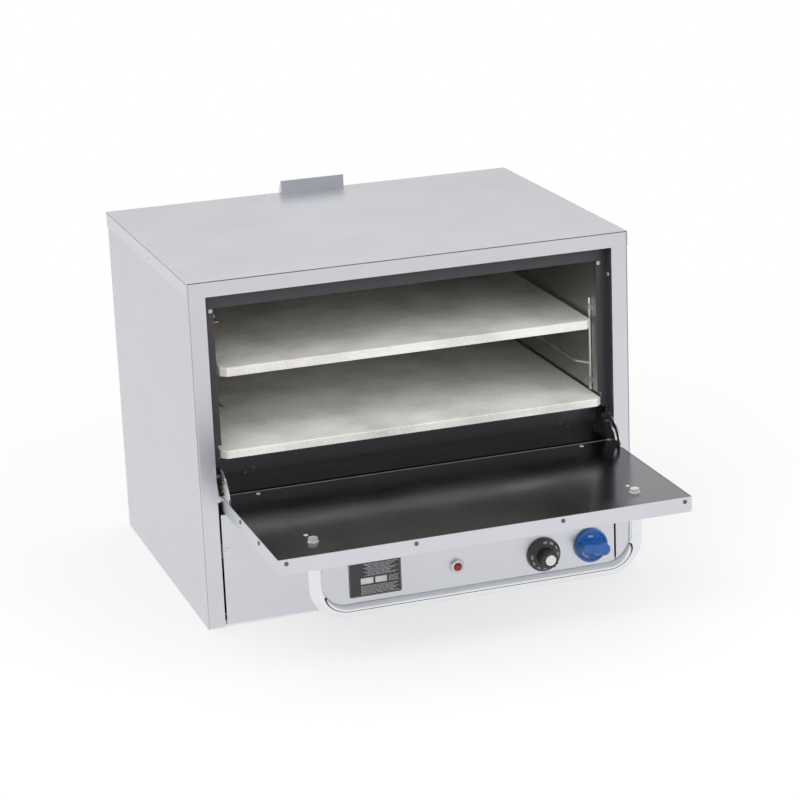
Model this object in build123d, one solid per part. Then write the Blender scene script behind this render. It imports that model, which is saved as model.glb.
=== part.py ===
from build123d import *
import os
from math import atan2, cos, degrees, pi, radians, sin

# Countertop gas pizza oven, in millimetres. X is to the right seen from the front, Y to the
# back and Z up. The origin is the middle of the cabinet's footprint on the counter.
# The door is modelled open and level, as it rests on its two stays.

# Cabinet
WIDTH = 870.0
DEPTH = 650.0
HEIGHT = 677.0
SKIN = 1.2
BEND = 0.8
ROOF_LIP = 29.0
ROOF_REAR_LIP = 21.0
ROOF_SEAM = 1.4
SIDE_RETURN = 18.0
EDGE_SET_BACK = 0.3

# Front frame
POST_WIDTH = 33.0
RAIL_HEIGHT = 30.2
FRAME_LIP = 5.0
FRAME_SIDE_LEG = 15.0
FRAME_TOP_LEG = 12.0
FRAME_FOOT = 3.0

# Base
BASE_SHEET = 1.5
BASE_RIM = 12.0
LEG_INSET = 45.0
LEG_HOLE_RADIUS = 4.75
LEG_NUT_ACROSS = 16.0
LEG_NUT_HEIGHT = 8.0
AIR_SLOT_LENGTH = 90.0
AIR_SLOT_WIDTH = 12.0
AIR_SLOT_PITCH = 180.0
AIR_SLOT_COUNT = 3
AIR_SLOT_ROWS_APART = 300.0

# Baking chamber
CAVITY_SIDE_GAP = 54.0
CAVITY_TOP_GAP = 29.8
CAVITY_BACK_GAP = 76.0
JAMB_SET_BACK = 29.0
JOGGLE_LEVEL = 352.0
JOGGLE = 7.5
JAMB_NOTCH_TOP = 322.0
JAMB_NOTCH_GAP = 8.5
JAMB_BOTTOM = 258.0
LEDGE_DEPTH = 30.5
FLUE_PORT_WIDTH = 120.0
FLUE_PORT_DROP = 42.0
FLUE_PORT_HEIGHT = 26.0

# Hearths, slabs of refractory stone that slide out to be cleaned
LOWER_HEARTH_SIDE_GAP = 4.0
LOWER_HEARTH_THICK = 15.0
LOWER_HEARTH_BOTTOM = 328.6
LOWER_HEARTH_FRONT_GAP = 14.0
UPPER_HEARTH_SIDE_GAP = 8.0
UPPER_HEARTH_THICK = 17.0
UPPER_HEARTH_BOTTOM = 482.6
UPPER_HEARTH_FRONT_GAP = 30.0
HEARTH_REAR_GAP = 5.0
HEARTH_CORNER = 11.0
HEARTH_EDGE = 1.5
HEARTH_CLEAR = 0.4

# Wire racks on the side walls
POST_WIRE_RADIUS = 3.0
RAIL_WIRE_RADIUS = 2.75
RACK_RAIL_INSET = 23.0
RACK_FRONT_GAP = 57.0
RACK_REAR_GAP = 39.0
RACK_RAMP = 27.0
RACK_BOTTOM = 352.5
RACK_TOP = 538.0
RACK_SPARE_LEVEL = 406.0
CLIP_SHEET = 1.2
CLIP_WIDTH = 10.0
CLIP_EAR = 8.0
CLIP_LEVELS = (372.0, 520.0)

# Burner compartment
BOX_FLOOR = 112.0
BOX_OVERHANG = 0.5
RISER_GAP = 63.0
BOX_WINDOW_LENGTH = 300.0
BOX_WINDOW_WIDTH = 30.0
SILL_LEVEL = 262.0
SILL_FRONT_GAP = 12.0
SILL_END_GAP = 1.0
APRON_DROP = 34.0
HEARTH_REST = 17.0
RIVET_RADIUS = 3.2
RIVET_HEIGHT = 1.4
RIVETS = ((330.0, 281.0), (313.0, 289.0))
SHIELD_SHEET = 2.0
SHIELD_SIDE_GAP = 87.8
SHIELD_SLOPE = 85.0
SHIELD_LEVEL = 260.0
SHIELD_DROP = 28.0

# Burners
BURNER_SPACING = 380.0
BURNER_LEVEL = 170.0
BURNER_RADIUS = 19.0
BURNER_WALL = 1.5
BURNER_MOUTH_RADIUS = 18.5
BURNER_THROAT_RADIUS = 13.5
BURNER_MOUTH_GAP = 41.0
BURNER_CONE_LENGTH = 16.0
BURNER_THROAT_LENGTH = 14.0
BURNER_FLARE_LENGTH = 26.0
BURNER_END_GAP = 24.0
FLAME_SLOT_WIDTH = 2.5
FLAME_SLOT_DEPTH = 8.0
FLAME_SLOT_PITCH = 48.0
FLAME_SLOT_FRONT_GAP = 125.0
FLAME_SLOT_END_GAP = 41.0
SADDLE_END_GAP = 65.0
SADDLE_WIDTH = 50.0
SADDLE_SHEET = 2.0
SADDLE_FOOT = 18.0

# Gas train in half inch pipe
PIPE_RADIUS = 10.65
PIPE_BORE_RADIUS = 7.9
TRAIN_LEVEL = 50.0
INLET_STUB = 30.0
INLET_HOLE_CLEAR = 3.0
MANIFOLD_GAP = 25.0
MANIFOLD_OVERHANG = 45.0
MANIFOLD_BEND = 30.0
ARM_X = -120.0
ARM_SHEET = 3.0
ARM_WIDTH = 30.0
SPUD_RADIUS = 5.0
SPUD_LENGTH = 10.0
PORT_ACROSS = 27.0
PORT_LENGTH = 8.0
VALVE_FRONT_GAP = 8.0
VALVE_DEPTH = 56.0
CASTING_CORNER = 8.0
SAFETY_WIDTH = 60.0
SAFETY_HEIGHT = 72.0
SAFETY_DOME_RADIUS = 16.0
SAFETY_DOME_HEIGHT = 8.0
THERMOSTAT_WIDTH = 54.0
THERMOSTAT_HEIGHT = 62.0
GAS_VALVE_WIDTH = 50.0
GAS_VALVE_HEIGHT = 56.0

# Pilot, thermocouple and thermostat bulb
PILOT_OFFSET = 38.0
SHELF_LEVEL = 150.0
SHELF_SHEET = 2.0
SHELF_WIDTH = 40.0
SHELF_REACH = 34.0
SHELF_DROP = 14.0
PILOT_RADIUS = 5.0
PILOT_HEIGHT = 32.0
PILOT_HOOD = 7.0
PROBE_RADIUS = 3.0
PROBE_HEIGHT = 38.0
PROBE_DEPTH = 12.0
PROBE_OFFSET = 12.0
PILOT_LINE_RADIUS = 2.4
PILOT_LINE_LEVEL = 132.0
PILOT_LINE_GAP = 30.0
LEAD_RADIUS = 1.8
LEAD_LEVEL = 122.0
LEAD_GAP = 44.0
LINE_EXIT = 20.0
LINE_HOLE_RADIUS = 13.0
CAPILLARY_RADIUS = 1.5
CAPILLARY_GAP = 50.0
CAPILLARY_LEVEL = 100.0
CAPILLARY_SIDE_GAP = 23.0
CAPILLARY_HOLE_RADIUS = 3.0
BULB_RADIUS = 4.75
BULB_INSET = 12.0
BULB_DROP = 32.0
BULB_START_GAP = 87.0
BULB_LENGTH = 140.0
BULB_CLIP_ENDS = 22.0

# Insulation blankets
BLANKET_TOP_THICK = 50.0
BLANKET_SIDE_THICK = 40.0
BLANKET_BACK_THICK = 38.0
BLANKET_FRONT_GAP = 75.0

# Flue
FLUE_WIDTH = 132.0
FLUE_DEPTH = 24.0
FLUE_BOTTOM_DROP = 15.0
FLUE_FLANGE_WIDTH = 206.0
ROOF_SLOT_WIDTH = 124.0
ROOF_SLOT_DEPTH = 12.0
ROOF_SLOT_GAP = 1.3
DEFLECTOR_WIDTH = 136.0
DEFLECTOR_HEIGHT = 28.0
DEFLECTOR_REAR_HEIGHT = 9.0
DEFLECTOR_DEPTH = 17.0
DEFLECTOR_REAR_GAP = 2.0
DEFLECTOR_FLAT = 4.0

# Back panel louvres
LOUVRE_LENGTH = 90.0
LOUVRE_HEIGHT = 14.0
LOUVRE_MOUTH = 10.4
LOUVRE_BULGE = 6.0
LOUVRE_PITCH = 26.0
LOUVRE_COUNT = 5
LOUVRE_BANKS_APART = 500.0
LOUVRE_LEVEL = 150.0

# Control panel
PANEL_SIDE_GAP = 4.0
PANEL_BOTTOM = 5.0
PANEL_TOP = 225.6
PANEL_RETURN = 10.0
PANEL_SCREW_EDGE = 8.4
PANEL_SCREW_Z = 153.8
TAB_SHEET = 2.0
TAB_REACH = 20.0
TAB_WIDTH = 30.0
SHAFT_HOLE_RADIUS = 9.0
PLATE_LEFT = -154.0
PLATE_WIDTH = 106.0
PLATE_LOW = 18.0
PLATE_HEIGHT = 70.0
PLATE_SHEET = 0.8
PLATE_CORNER = 2.5

# Dials
DIAL_RADIUS = 34.0
DIAL_GAP = 1.2
STEM_RADIUS = 4.0
STEM_FIT = 0.05
STEM_IN_VALVE = 16.0
STEM_IN_DIAL = 18.0
STEM_END_GAP = 1.0
DIAL_SPACING = 100.0
THERMOSTAT_Z = 46.0
DIAL_RIM = 5.0
DIAL_RIM_EDGE = 1.2
DIAL_FACE_RADIUS = 21.0
DIAL_FACE_DEPTH = 13.0
DIAL_HUB_RADIUS = 18.0
DIAL_HUB_DEPTH = 39.0
DIAL_FLUTE_COUNT = 12
DIAL_FLUTE_DEPTH = 1.7
CAP_RADIUS = 11.0
CAP_RECESS = 1.5
CAP_THICK = 2.3
CAP_EDGE = 0.6
GAS_EDGE_GAP = 55.0
GAS_Z = 50.0
GAS_RIM = 8.5
GAS_DISH_RADIUS = 29.5
GAS_DISH_DEPTH = 1.8
GRIP_LENGTH = 62.0
GRIP_WIDE = 25.0
GRIP_NARROW = 15.0
GRIP_DEPTH = 31.0
GRIP_TURN = -11.0
GRIP_EDGE = 2.5

# Reset button and its bezel
BUTTON_SPACING = 180.7
BUTTON_RADIUS = 7.4
BUTTON_PROUD = 11.5
BUTTON_LENGTH = 15.0
BUTTON_EDGE = 2.4
BUTTON_TRAVEL = 4.0
BUTTON_STEM_RADIUS = 3.0
BUTTON_STEM_IN_VALVE = 12.0
BEZEL_TURN = 30.0
BEZEL_ACROSS = 26.0
BEZEL_BORE_RADIUS = 8.6
BEZEL_PROUD = 7.0
BEZEL_EDGE = 1.2
BEZEL_SLEEVE_RADIUS = 11.0
BEZEL_SLEEVE = 6.5

# Door, open
DOOR_SIDE_GAP = 7.0
DOOR_REACH = 375.0
DOOR_REAR_GAP = 2.0
DOOR_BOTTOM = 233.0
DOOR_TOP = 262.3
DOOR_CORNER = 2.5
DOOR_EDGE = 1.5
INNER_RECESS = 0.6
INNER_FLANGE = 14.0
NOTCH_CLEAR = 0.5
NOTCH_LENGTH = 6.0
STIFFENER_OFFSET = 8.0
STIFFENER_WIDTH = 40.0
STIFFENER_SHEET = 1.5
STIFFENER_END_GAP = 10.0
BLANKET_END_GAP = 14.0
BLANKET_EDGE_GAP = 6.0

# Hinge and stays
HINGE_SET_BACK = 4.0
HINGE_LEVEL = 256.5
PIN_RADIUS = 4.0
PIN_FIT = 0.05
PIN_HEAD_RADIUS = 6.0
PIN_HEAD_THICK = 2.5
SIDE_CLEAR = 0.4
STAY_SHEET = 2.5
STAY_RADIUS = 58.0
STAY_REAR_ANGLE = 52.0
STAY_TAIL_LOW = 240.0
STAY_SLOT_RADIUS = 42.0
STUD_RADIUS = 4.0
STUD_CLEAR = 0.4
STUD_ANGLE = 65.0
DOOR_SWING = 90.0
BRACKET_SHEET = 2.5
BRACKET_NOSE = 8.5
BRACKET_STUD_RIM = 2.5
BRACKET_LOW = 240.0
BRACKET_HIGH = 312.0
BRACKET_EDGE = 4.0
BRACKET_REAR_GAP = 0.3
SPACER_RADIUS = 7.0

# Handle
HANDLE_RADIUS = 12.7
HANDLE_EDGE_GAP = 85.0
HANDLE_REACH = 307.0
HANDLE_DROP = 113.0
HANDLE_BEND = 58.0
BOLT_RADIUS = 4.75
BOLT_HEAD_ACROSS = 16.0
BOLT_HEAD_HEIGHT = 6.5
BOLT_FLANGE_RADIUS = 10.5
BOLT_FLANGE_THICK = 1.5
BOLT_THREAD = 14.0

# Screws
PAN_HEAD_RADIUS = 4.2
PAN_HEAD_HEIGHT = 1.8
HEX_HEAD_ACROSS = 8.0
HEX_HEAD_HEIGHT = 3.5
SLOT_HEAD_RADIUS = 4.8
SLOT_HEAD_HEIGHT = 2.6
SLOT_WIDTH = 1.3
SLOT_DEPTH = 1.2
SCREW_RADIUS = 2.2
BOLT_SCREW_SET_OFF = (2.0, 38.0)
REAR_SCREW_SET_OFF = (17.0, 14.0)
LIP_SCREW_EDGE = 15.0
LIP_SCREW_X = 140.0
DOOR_SIDE_SCREWS = (253.0, 131.0)
DOOR_SCREW_LEVEL = 254.0
JAMB_SIDE_SCREW = (18.0, 56.3)
JAMB_FACE_SCREW = (6.0, 5.0)
BRACKET_SCREWS = ((22.0, 272.0), (11.0, 267.5))
ROOF_SIDE_SCREWS = (305.0, 560.0)
ROOF_SIDE_SCREW_DROP = 21.0
ROOF_TOP_SCREW_X = 91.5
ROOF_TOP_SCREW_GAP = 6.5
BACK_SCREW_EDGE = 10.0
BACK_SCREW_LOW = 40.0
BACK_SCREW_TOP_GAP = 37.0
BACK_SCREW_COUNT = 4

# Sides of the sections that stand for small round ones
ROUND_SIDES = 10
HEAD_SIDES = 8
DIAL_SIDES = 30
HANDLE_SIDES = 12
WIRE_SIDES = 6

# Planes and levels that follow from the values above
FRONT = -DEPTH / 2
BACK = DEPTH / 2
FOLD = SKIN + BEND
SIDE_OUT = WIDTH / 2
SIDE_IN = SIDE_OUT - SKIN
LEG_SPACING_X = WIDTH - 2 * LEG_INSET
LEG_SPACING_Y = DEPTH - 2 * LEG_INSET
ROOF_UNDER = HEIGHT - SKIN
SHEET_TOP = ROOF_UNDER - FOLD
BACK_IN = BACK - SKIN
RETURN_IN = BACK_IN - SKIN
OPENING_HALF = SIDE_OUT - POST_WIDTH
OPENING_TOP = HEIGHT - RAIL_HEIGHT
FRAME_TOP = ROOF_UNDER - ROOF_SEAM
FRAME_BACK = FRONT + SKIN
BASE_FRONT = FRONT + FRAME_SIDE_LEG
LIP_BACK = FRONT + FRAME_LIP
JAMB_FACE = FRONT + JAMB_SET_BACK
JAMB_BACK = JAMB_FACE + SKIN
CAVITY_HALF = SIDE_OUT - CAVITY_SIDE_GAP
CAVITY_TOP = OPENING_TOP - CAVITY_TOP_GAP
CAVITY_BACK = BACK - CAVITY_BACK_GAP
JOGGLE_HALF = CAVITY_HALF + JOGGLE
JAMB_NOTCH_HALF = JOGGLE_HALF + JAMB_NOTCH_GAP
LEDGE_IN = JOGGLE_HALF - LEDGE_DEPTH
LEDGE_TOP = LOWER_HEARTH_BOTTOM - HEARTH_CLEAR
LEDGE_UNDER = LEDGE_TOP - SKIN
LINER_BACK = CAVITY_BACK + SKIN
LINER_TOP = CAVITY_TOP + SKIN
PORT_HALF = FLUE_PORT_WIDTH / 2
FLUE_PORT_LOW = CAVITY_TOP - FLUE_PORT_DROP
FLUE_BOTTOM = FLUE_PORT_LOW - FLUE_BOTTOM_DROP
PORT_TOP = FLUE_PORT_LOW + FLUE_PORT_HEIGHT
BOX_HALF = JOGGLE_HALF + BOX_OVERHANG
BOX_IN = BOX_HALF - SKIN
SILL_HALF = BOX_HALF - SILL_END_GAP
SHIELD_HALF = BOX_IN - SHIELD_SIDE_GAP
SHIELD_FLAT_HALF = SHIELD_HALF - SHIELD_SLOPE
RISER_FACE = FRONT + RISER_GAP
BOX_FRONT = RISER_FACE + SKIN
BOX_WALL_BACK = BOX_FRONT + SKIN
SILL_BACK = FRONT + SILL_FRONT_GAP + SKIN
SILL_UNDER = SILL_LEVEL - SKIN
RACK_POST_X = CAVITY_HALF - POST_WIRE_RADIUS
RACK_RAIL_X = CAVITY_HALF - RACK_RAIL_INSET
RACK_FRONT_Y = FRONT + RACK_FRONT_GAP
RACK_REAR_Y = CAVITY_BACK - RACK_REAR_GAP
RACK_DECK_LEVEL = UPPER_HEARTH_BOTTOM - HEARTH_CLEAR - RAIL_WIRE_RADIUS
MANIFOLD_Y = FRONT + MANIFOLD_GAP
VALVE_FRONT = FRONT + VALVE_FRONT_GAP
VALVE_BACK = VALVE_FRONT + VALVE_DEPTH
VALVE_MIDDLE = (VALVE_FRONT + VALVE_BACK) / 2
SAFETY_TOP = TRAIN_LEVEL + SAFETY_HEIGHT / 2
BURNER_X = BURNER_SPACING / 2
BURNER_END = CAVITY_BACK - BURNER_END_GAP
FLAME_SLOT_FIRST = FRONT + FLAME_SLOT_FRONT_GAP
FLAME_SLOT_LAST = BURNER_END - FLAME_SLOT_END_GAP
FLAME_SLOT_COUNT = 1 + int((FLAME_SLOT_LAST - FLAME_SLOT_FIRST) / FLAME_SLOT_PITCH)
SADDLE_Y = BURNER_END - SADDLE_END_GAP
MANIFOLD_END = -BURNER_X - MANIFOLD_OVERHANG
GAS_X = OPENING_HALF - GAS_EDGE_GAP
THERMOSTAT_X = GAS_X - DIAL_SPACING
BUTTON_X = THERMOSTAT_X - BUTTON_SPACING
PANEL_HALF = OPENING_HALF - PANEL_SIDE_GAP
PANEL_SCREW_X = PANEL_HALF - PANEL_SCREW_EDGE
PILOT_X = BURNER_X + PILOT_OFFSET
PILOT_Y = BOX_WALL_BACK + SHELF_REACH / 2
PROBE_X = PILOT_X + PROBE_OFFSET
DOOR_HALF = OPENING_HALF - DOOR_SIDE_GAP
DOOR_IN = DOOR_HALF - SKIN
DOOR_FRONT = FRONT - DOOR_REACH
DOOR_REAR = FRONT + DOOR_REAR_GAP
DOOR_FLOOR = DOOR_BOTTOM + SKIN
INNER_TOP = DOOR_TOP - INNER_RECESS
INNER_UNDER = INNER_TOP - SKIN
HANDLE_X = DOOR_HALF - HANDLE_EDGE_GAP
HANDLE_Y = FRONT - HANDLE_REACH
STIFFENER_X = HANDLE_X + STIFFENER_OFFSET
STIFFENER_IN = STIFFENER_X - STIFFENER_WIDTH / 2
STIFFENER_OUT = STIFFENER_X + STIFFENER_WIDTH / 2
HINGE_Y = FRONT + HINGE_SET_BACK
STAY_IN = DOOR_IN - STAY_SHEET
PIN_HEAD_IN = STAY_IN - SIDE_CLEAR - PIN_HEAD_THICK
STUD_Y = HINGE_Y + STAY_SLOT_RADIUS * cos(radians(STUD_ANGLE))
STUD_Z = HINGE_LEVEL + STAY_SLOT_RADIUS * sin(radians(STUD_ANGLE))
BRACKET_IN = OPENING_HALF - BRACKET_SHEET
BULB_X = -(CAVITY_HALF - BULB_INSET)
BULB_START = FRONT + BULB_START_GAP
BULB_LEVEL = CAVITY_TOP - BULB_DROP
FLUE_BACK = BACK_IN - BEND
FLUE_FRONT = FLUE_BACK - FLUE_DEPTH
DEFLECTOR_BACK = BACK - DEFLECTOR_REAR_GAP
DEFLECTOR_FRONT = DEFLECTOR_BACK - DEFLECTOR_DEPTH
ROOF_SLOT_FRONT = DEFLECTOR_FRONT + SKIN + ROOF_SLOT_GAP
DIAL_BACK = FRONT - DIAL_GAP


# Forms that the sub-parts share

def block(x, y, z):
    """A block between two values on each axis."""
    centre = Pos((x[0] + x[1]) / 2, (y[0] + y[1]) / 2, (z[0] + z[1]) / 2)
    return centre * Box(x[1] - x[0], y[1] - y[0], z[1] - z[0])


def flat(across, up):
    """A flat rectangle between two values on each axis of its plane."""
    middle = Pos((across[0] + across[1]) / 2, (up[0] + up[1]) / 2)
    return middle * Rectangle(across[1] - across[0], up[1] - up[0])


def along_x(face, start, end):
    """A section drawn in Y and Z, run along X."""
    return extrude(Plane.YZ.offset(start) * face, end - start, dir=(1, 0, 0))


def along_y(face, start, end):
    """A section drawn in X and Z, run along Y."""
    return extrude(Plane.XZ.offset(-start) * face, end - start, dir=(0, 1, 0))


def along_z(face, start, end):
    """A section drawn in X and Y, run along Z."""
    return extrude(Plane.XY.offset(start) * face, end - start, dir=(0, 0, 1))


def outline(*points):
    """A flat face inside straight edges."""
    return make_face(Polyline(*points, close=True))


def folded(*points, sheet=SKIN):
    """The section of a folded sheet, with its thickness to the left of the path."""
    path = FilletPolyline(*points, radius=sheet + BEND)
    return make_face(offset(path, amount=sheet, side=Side.LEFT, closed=True).edges())


def creased(*points, sheet=SKIN):
    """The section of a folded sheet with tight bends, left sharp."""
    path = Polyline(*points)
    loop = offset(path, amount=sheet, side=Side.LEFT, kind=Kind.INTERSECTION, closed=True)
    return make_face(loop.edges())


def bar(start, end, radius, sides=ROUND_SIDES):
    """A small round bar, drawn with flat sides."""
    run = Vector(*end) - Vector(*start)
    return extrude(Plane(origin=start, z_dir=run) * RegularPolygon(radius, sides), run.length)


def tapered(sides, *sections):
    """Flat sided lengths joined along Y, from pairs of radius and distance."""
    lengths = []
    for (radius, y), (next_radius, next_y) in zip(sections, sections[1:]):
        ring = Plane.XZ.offset(-y) * RegularPolygon(radius, sides)
        lean = degrees(atan2((radius - next_radius) * cos(pi / sides), next_y - y))
        lengths.append(extrude(ring, next_y - y, dir=(0, 1, 0), taper=lean))
    return lengths[0].fuse(*lengths[1:])


def rod(start, end, radius):
    """A round bar from one point to another."""
    run = Vector(*end) - Vector(*start)
    return extrude(Plane(origin=start, z_dir=run) * Circle(radius), run.length)


def bent(points, section, bend):
    """A bar of one section along straight runs joined by tangent arcs."""
    path = FilletPolyline(*points, radius=bend)
    return sweep(Plane(origin=path @ 0, z_dir=path % 0) * section, path=path)


def thin_line(radius, *points):
    """A wire or a small metal line with tight bends, left sharp."""
    path = Polyline(*points)
    section = Plane(origin=path @ 0, z_dir=path % 0) * RegularPolygon(radius, WIRE_SIDES)
    return sweep(section, path=path, transition=Transition.RIGHT)


def group(*pieces):
    """Separate solids that share one node."""
    return Compound(children=[*pieces])


def both_sides(*pieces):
    """The same pieces on both sides of the oven."""
    return group(*pieces, *[mirror(piece, Plane.YZ) for piece in pieces])


def strap(reach, radius):
    """The section of a strap that stands on a wall at zero and passes over a rod."""
    path = Polyline(
        (0, -radius - CLIP_EAR), (0, -radius), (reach, -radius),
        (reach, radius), (0, radius), (0, radius + CLIP_EAR),
    )
    loop = offset(path, amount=CLIP_SHEET, side=Side.RIGHT, kind=Kind.INTERSECTION, closed=True)
    return make_face(loop.edges())


def hexagon(across):
    """A six sided section, named by its size across the flats."""
    return RegularPolygon(across / 2, 6, major_radius=False)


def stand(at, out, section, height):
    """A section pulled out of a face at a point, along the direction out."""
    return extrude(Plane(origin=at, z_dir=out) * section, height)


# Cabinet

def base_pan():
    """Bottom tray with a rim, air slots and the four leg holes."""
    tray = block(
        (-SIDE_IN, SIDE_IN), (BASE_FRONT, RETURN_IN), (0, BASE_RIM)
    )
    tray = offset(tray, amount=-BASE_SHEET, openings=tray.faces().sort_by(Axis.Z)[-1])
    slot = Rectangle(AIR_SLOT_LENGTH, AIR_SLOT_WIDTH)
    cuts = Sketch() + GridLocations(AIR_SLOT_PITCH, AIR_SLOT_ROWS_APART, AIR_SLOT_COUNT, 2) * slot
    cuts += GridLocations(LEG_SPACING_X, LEG_SPACING_Y, 2, 2) * Circle(LEG_HOLE_RADIUS)
    return tray - along_z(cuts, 0, BASE_SHEET)


def leg_nuts():
    """Four weld nuts, one over each leg hole."""
    nut = hexagon(LEG_NUT_ACROSS) - RegularPolygon(LEG_HOLE_RADIUS, HEAD_SIDES, major_radius=False)
    nut = along_z(nut, BASE_SHEET, BASE_SHEET + LEG_NUT_HEIGHT)
    return group(*[spot * nut for spot in GridLocations(LEG_SPACING_X, LEG_SPACING_Y, 2, 2)])


def side_panel_right():
    """Side sheet with a return that the back panel screws to."""
    section = folded(
        (SIDE_OUT, FRONT + EDGE_SET_BACK), (SIDE_OUT, BACK_IN), (SIDE_OUT - SIDE_RETURN, BACK_IN)
    )
    return along_z(section, 0, SHEET_TOP)


def side_panel_left():
    """The opposite hand of the right side sheet."""
    return mirror(side_panel_right(), Plane.YZ)


def top_cover():
    """Roof sheet folded down over the sides and the back, with the flue slot."""
    low = HEIGHT - ROOF_LIP
    over = folded(
        (-SIDE_OUT, low), (-SIDE_OUT, ROOF_UNDER), (SIDE_OUT, ROOF_UNDER), (SIDE_OUT, low)
    )
    rear = folded((FLUE_FRONT, ROOF_UNDER), (BACK, ROOF_UNDER), (BACK, HEIGHT - ROOF_REAR_LIP))
    roof = along_y(over, FRONT, BACK) + along_x(rear, FOLD - SIDE_OUT, SIDE_OUT - FOLD)
    slot = flat((-ROOF_SLOT_WIDTH / 2, ROOF_SLOT_WIDTH / 2),
                (ROOF_SLOT_FRONT, ROOF_SLOT_FRONT + ROOF_SLOT_DEPTH))
    return roof - along_z(slot, ROOF_UNDER, HEIGHT)


def louvre():
    """A pressed hood, open along its lower edge and towards the cabinet."""
    hood = along_x(
        outline((BACK, 0), (BACK + LOUVRE_BULGE, 0), (BACK, LOUVRE_HEIGHT)),
        -LOUVRE_LENGTH / 2, LOUVRE_LENGTH / 2,
    )
    open_faces = [hood.faces().sort_by(Axis.Z)[0], hood.faces().sort_by(Axis.Y)[0]]
    return offset(hood, amount=-SKIN, openings=open_faces)


def back_panel():
    """Back sheet with two banks of louvres and the hole for the gas inlet."""
    half, mouth_half = SIDE_OUT - FOLD, LOUVRE_LENGTH / 2 - SKIN
    sheet = flat((-half, half), (FRAME_FOOT, SHEET_TOP))
    sheet -= Pos(BUTTON_X, TRAIN_LEVEL) * RegularPolygon(PIPE_RADIUS + INLET_HOLE_CLEAR, ROUND_SIDES)
    mouth = along_y(flat((-mouth_half, mouth_half), (0, LOUVRE_MOUTH)), BACK_IN, BACK)
    hood = louvre()
    plate = along_y(sheet, BACK_IN, BACK)
    for side in (-1, 1):
        for row in range(LOUVRE_COUNT):
            spot = Pos(side * LOUVRE_BANKS_APART / 2, 0, LOUVRE_LEVEL + row * LOUVRE_PITCH)
            plate = plate - spot * mouth + spot * hood
    return plate


def front_frame():
    """One sheet round the top and sides of the front, with its edges folded back."""
    low, leg_back = FRAME_FOOT, FRONT + FRAME_SIDE_LEG
    inner = flat((-OPENING_HALF, OPENING_HALF), (low, OPENING_TOP))
    round_lip = flat((-OPENING_HALF - SKIN, OPENING_HALF + SKIN), (low, OPENING_TOP + SKIN))
    between_legs = flat((SKIN - SIDE_IN, SIDE_IN - SKIN), (low, FRAME_TOP))
    top_leg = flat((SKIN - SIDE_IN, SIDE_IN - SKIN), (FRAME_TOP - SKIN, FRAME_TOP))
    frame = along_y(flat((-SIDE_IN, SIDE_IN), (low, FRAME_TOP)), FRONT, leg_back)
    frame = fillet(frame.edges().filter_by(Axis.Z).group_by(Axis.Y)[0], FOLD)
    frame -= along_y(between_legs, FRAME_BACK, leg_back)
    frame -= along_y(inner, FRONT, FRAME_BACK)
    frame += along_y(round_lip - inner, FRAME_BACK, LIP_BACK)
    return frame + along_y(top_leg, FRAME_BACK, FRONT + FRAME_TOP_LEG)


def cabinet_screws():
    """Roof, back, jamb and hinge bracket screws."""
    pan = RegularPolygon(PAN_HEAD_RADIUS, HEAD_SIDES)
    level = HEIGHT - ROOF_SIDE_SCREW_DROP
    pitch = (HEIGHT - BACK_SCREW_TOP_GAP - BACK_SCREW_LOW) / (BACK_SCREW_COUNT - 1)
    right = [
        stand((SIDE_OUT + SKIN, FRONT + back, level), (1, 0, 0), pan, PAN_HEAD_HEIGHT)
        for back in ROOF_SIDE_SCREWS
    ]
    right += [
        stand((SIDE_OUT - BACK_SCREW_EDGE, BACK, BACK_SCREW_LOW + n * pitch), (0, 1, 0),
              hexagon(HEX_HEAD_ACROSS), HEX_HEAD_HEIGHT)
        for n in range(BACK_SCREW_COUNT)
    ]
    right += [
        stand((BRACKET_IN, FRONT + back, z), (-1, 0, 0), pan, PAN_HEAD_HEIGHT)
        for back, z in BRACKET_SCREWS
    ]
    right.append(stand((ROOF_TOP_SCREW_X, BACK - ROOF_TOP_SCREW_GAP, HEIGHT), (0, 0, 1), pan,
                       PAN_HEAD_HEIGHT))
    back, drop = JAMB_SIDE_SCREW
    right.append(stand((OPENING_HALF, FRONT + back, OPENING_TOP - drop), (-1, 0, 0), pan,
                       PAN_HEAD_HEIGHT))
    beside, below = JAMB_FACE_SCREW
    right.append(stand((CAVITY_HALF + beside, JAMB_FACE, CAVITY_TOP - below), (0, -1, 0), pan,
                       PAN_HEAD_HEIGHT))
    return both_sides(*right)


# Flue

def flue_box():
    """Duct from the back of the baking chamber up to the slot in the roof."""
    half, middle = FLUE_WIDTH / 2, Pos(0, (FLUE_FRONT + FLUE_BACK) / 2)
    duct = along_z(middle * Rectangle(FLUE_WIDTH, FLUE_DEPTH), FLUE_BOTTOM, ROOF_UNDER)
    duct += along_z(middle * Rectangle(FLUE_FLANGE_WIDTH, FLUE_DEPTH), SHEET_TOP, ROOF_UNDER)
    collar = flat((-half, half), (FLUE_PORT_LOW - SKIN, PORT_TOP + SKIN))
    duct += along_y(collar, LINER_BACK, FLUE_FRONT)
    bore = Rectangle(FLUE_WIDTH - 2 * SKIN, FLUE_DEPTH - 2 * SKIN)
    duct -= along_z(middle * bore, FLUE_BOTTOM + SKIN, ROOF_UNDER)
    throat = flat((-PORT_HALF, PORT_HALF), (FLUE_PORT_LOW, PORT_TOP))
    return duct - along_y(throat, LINER_BACK, FLUE_FRONT + SKIN)


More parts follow.
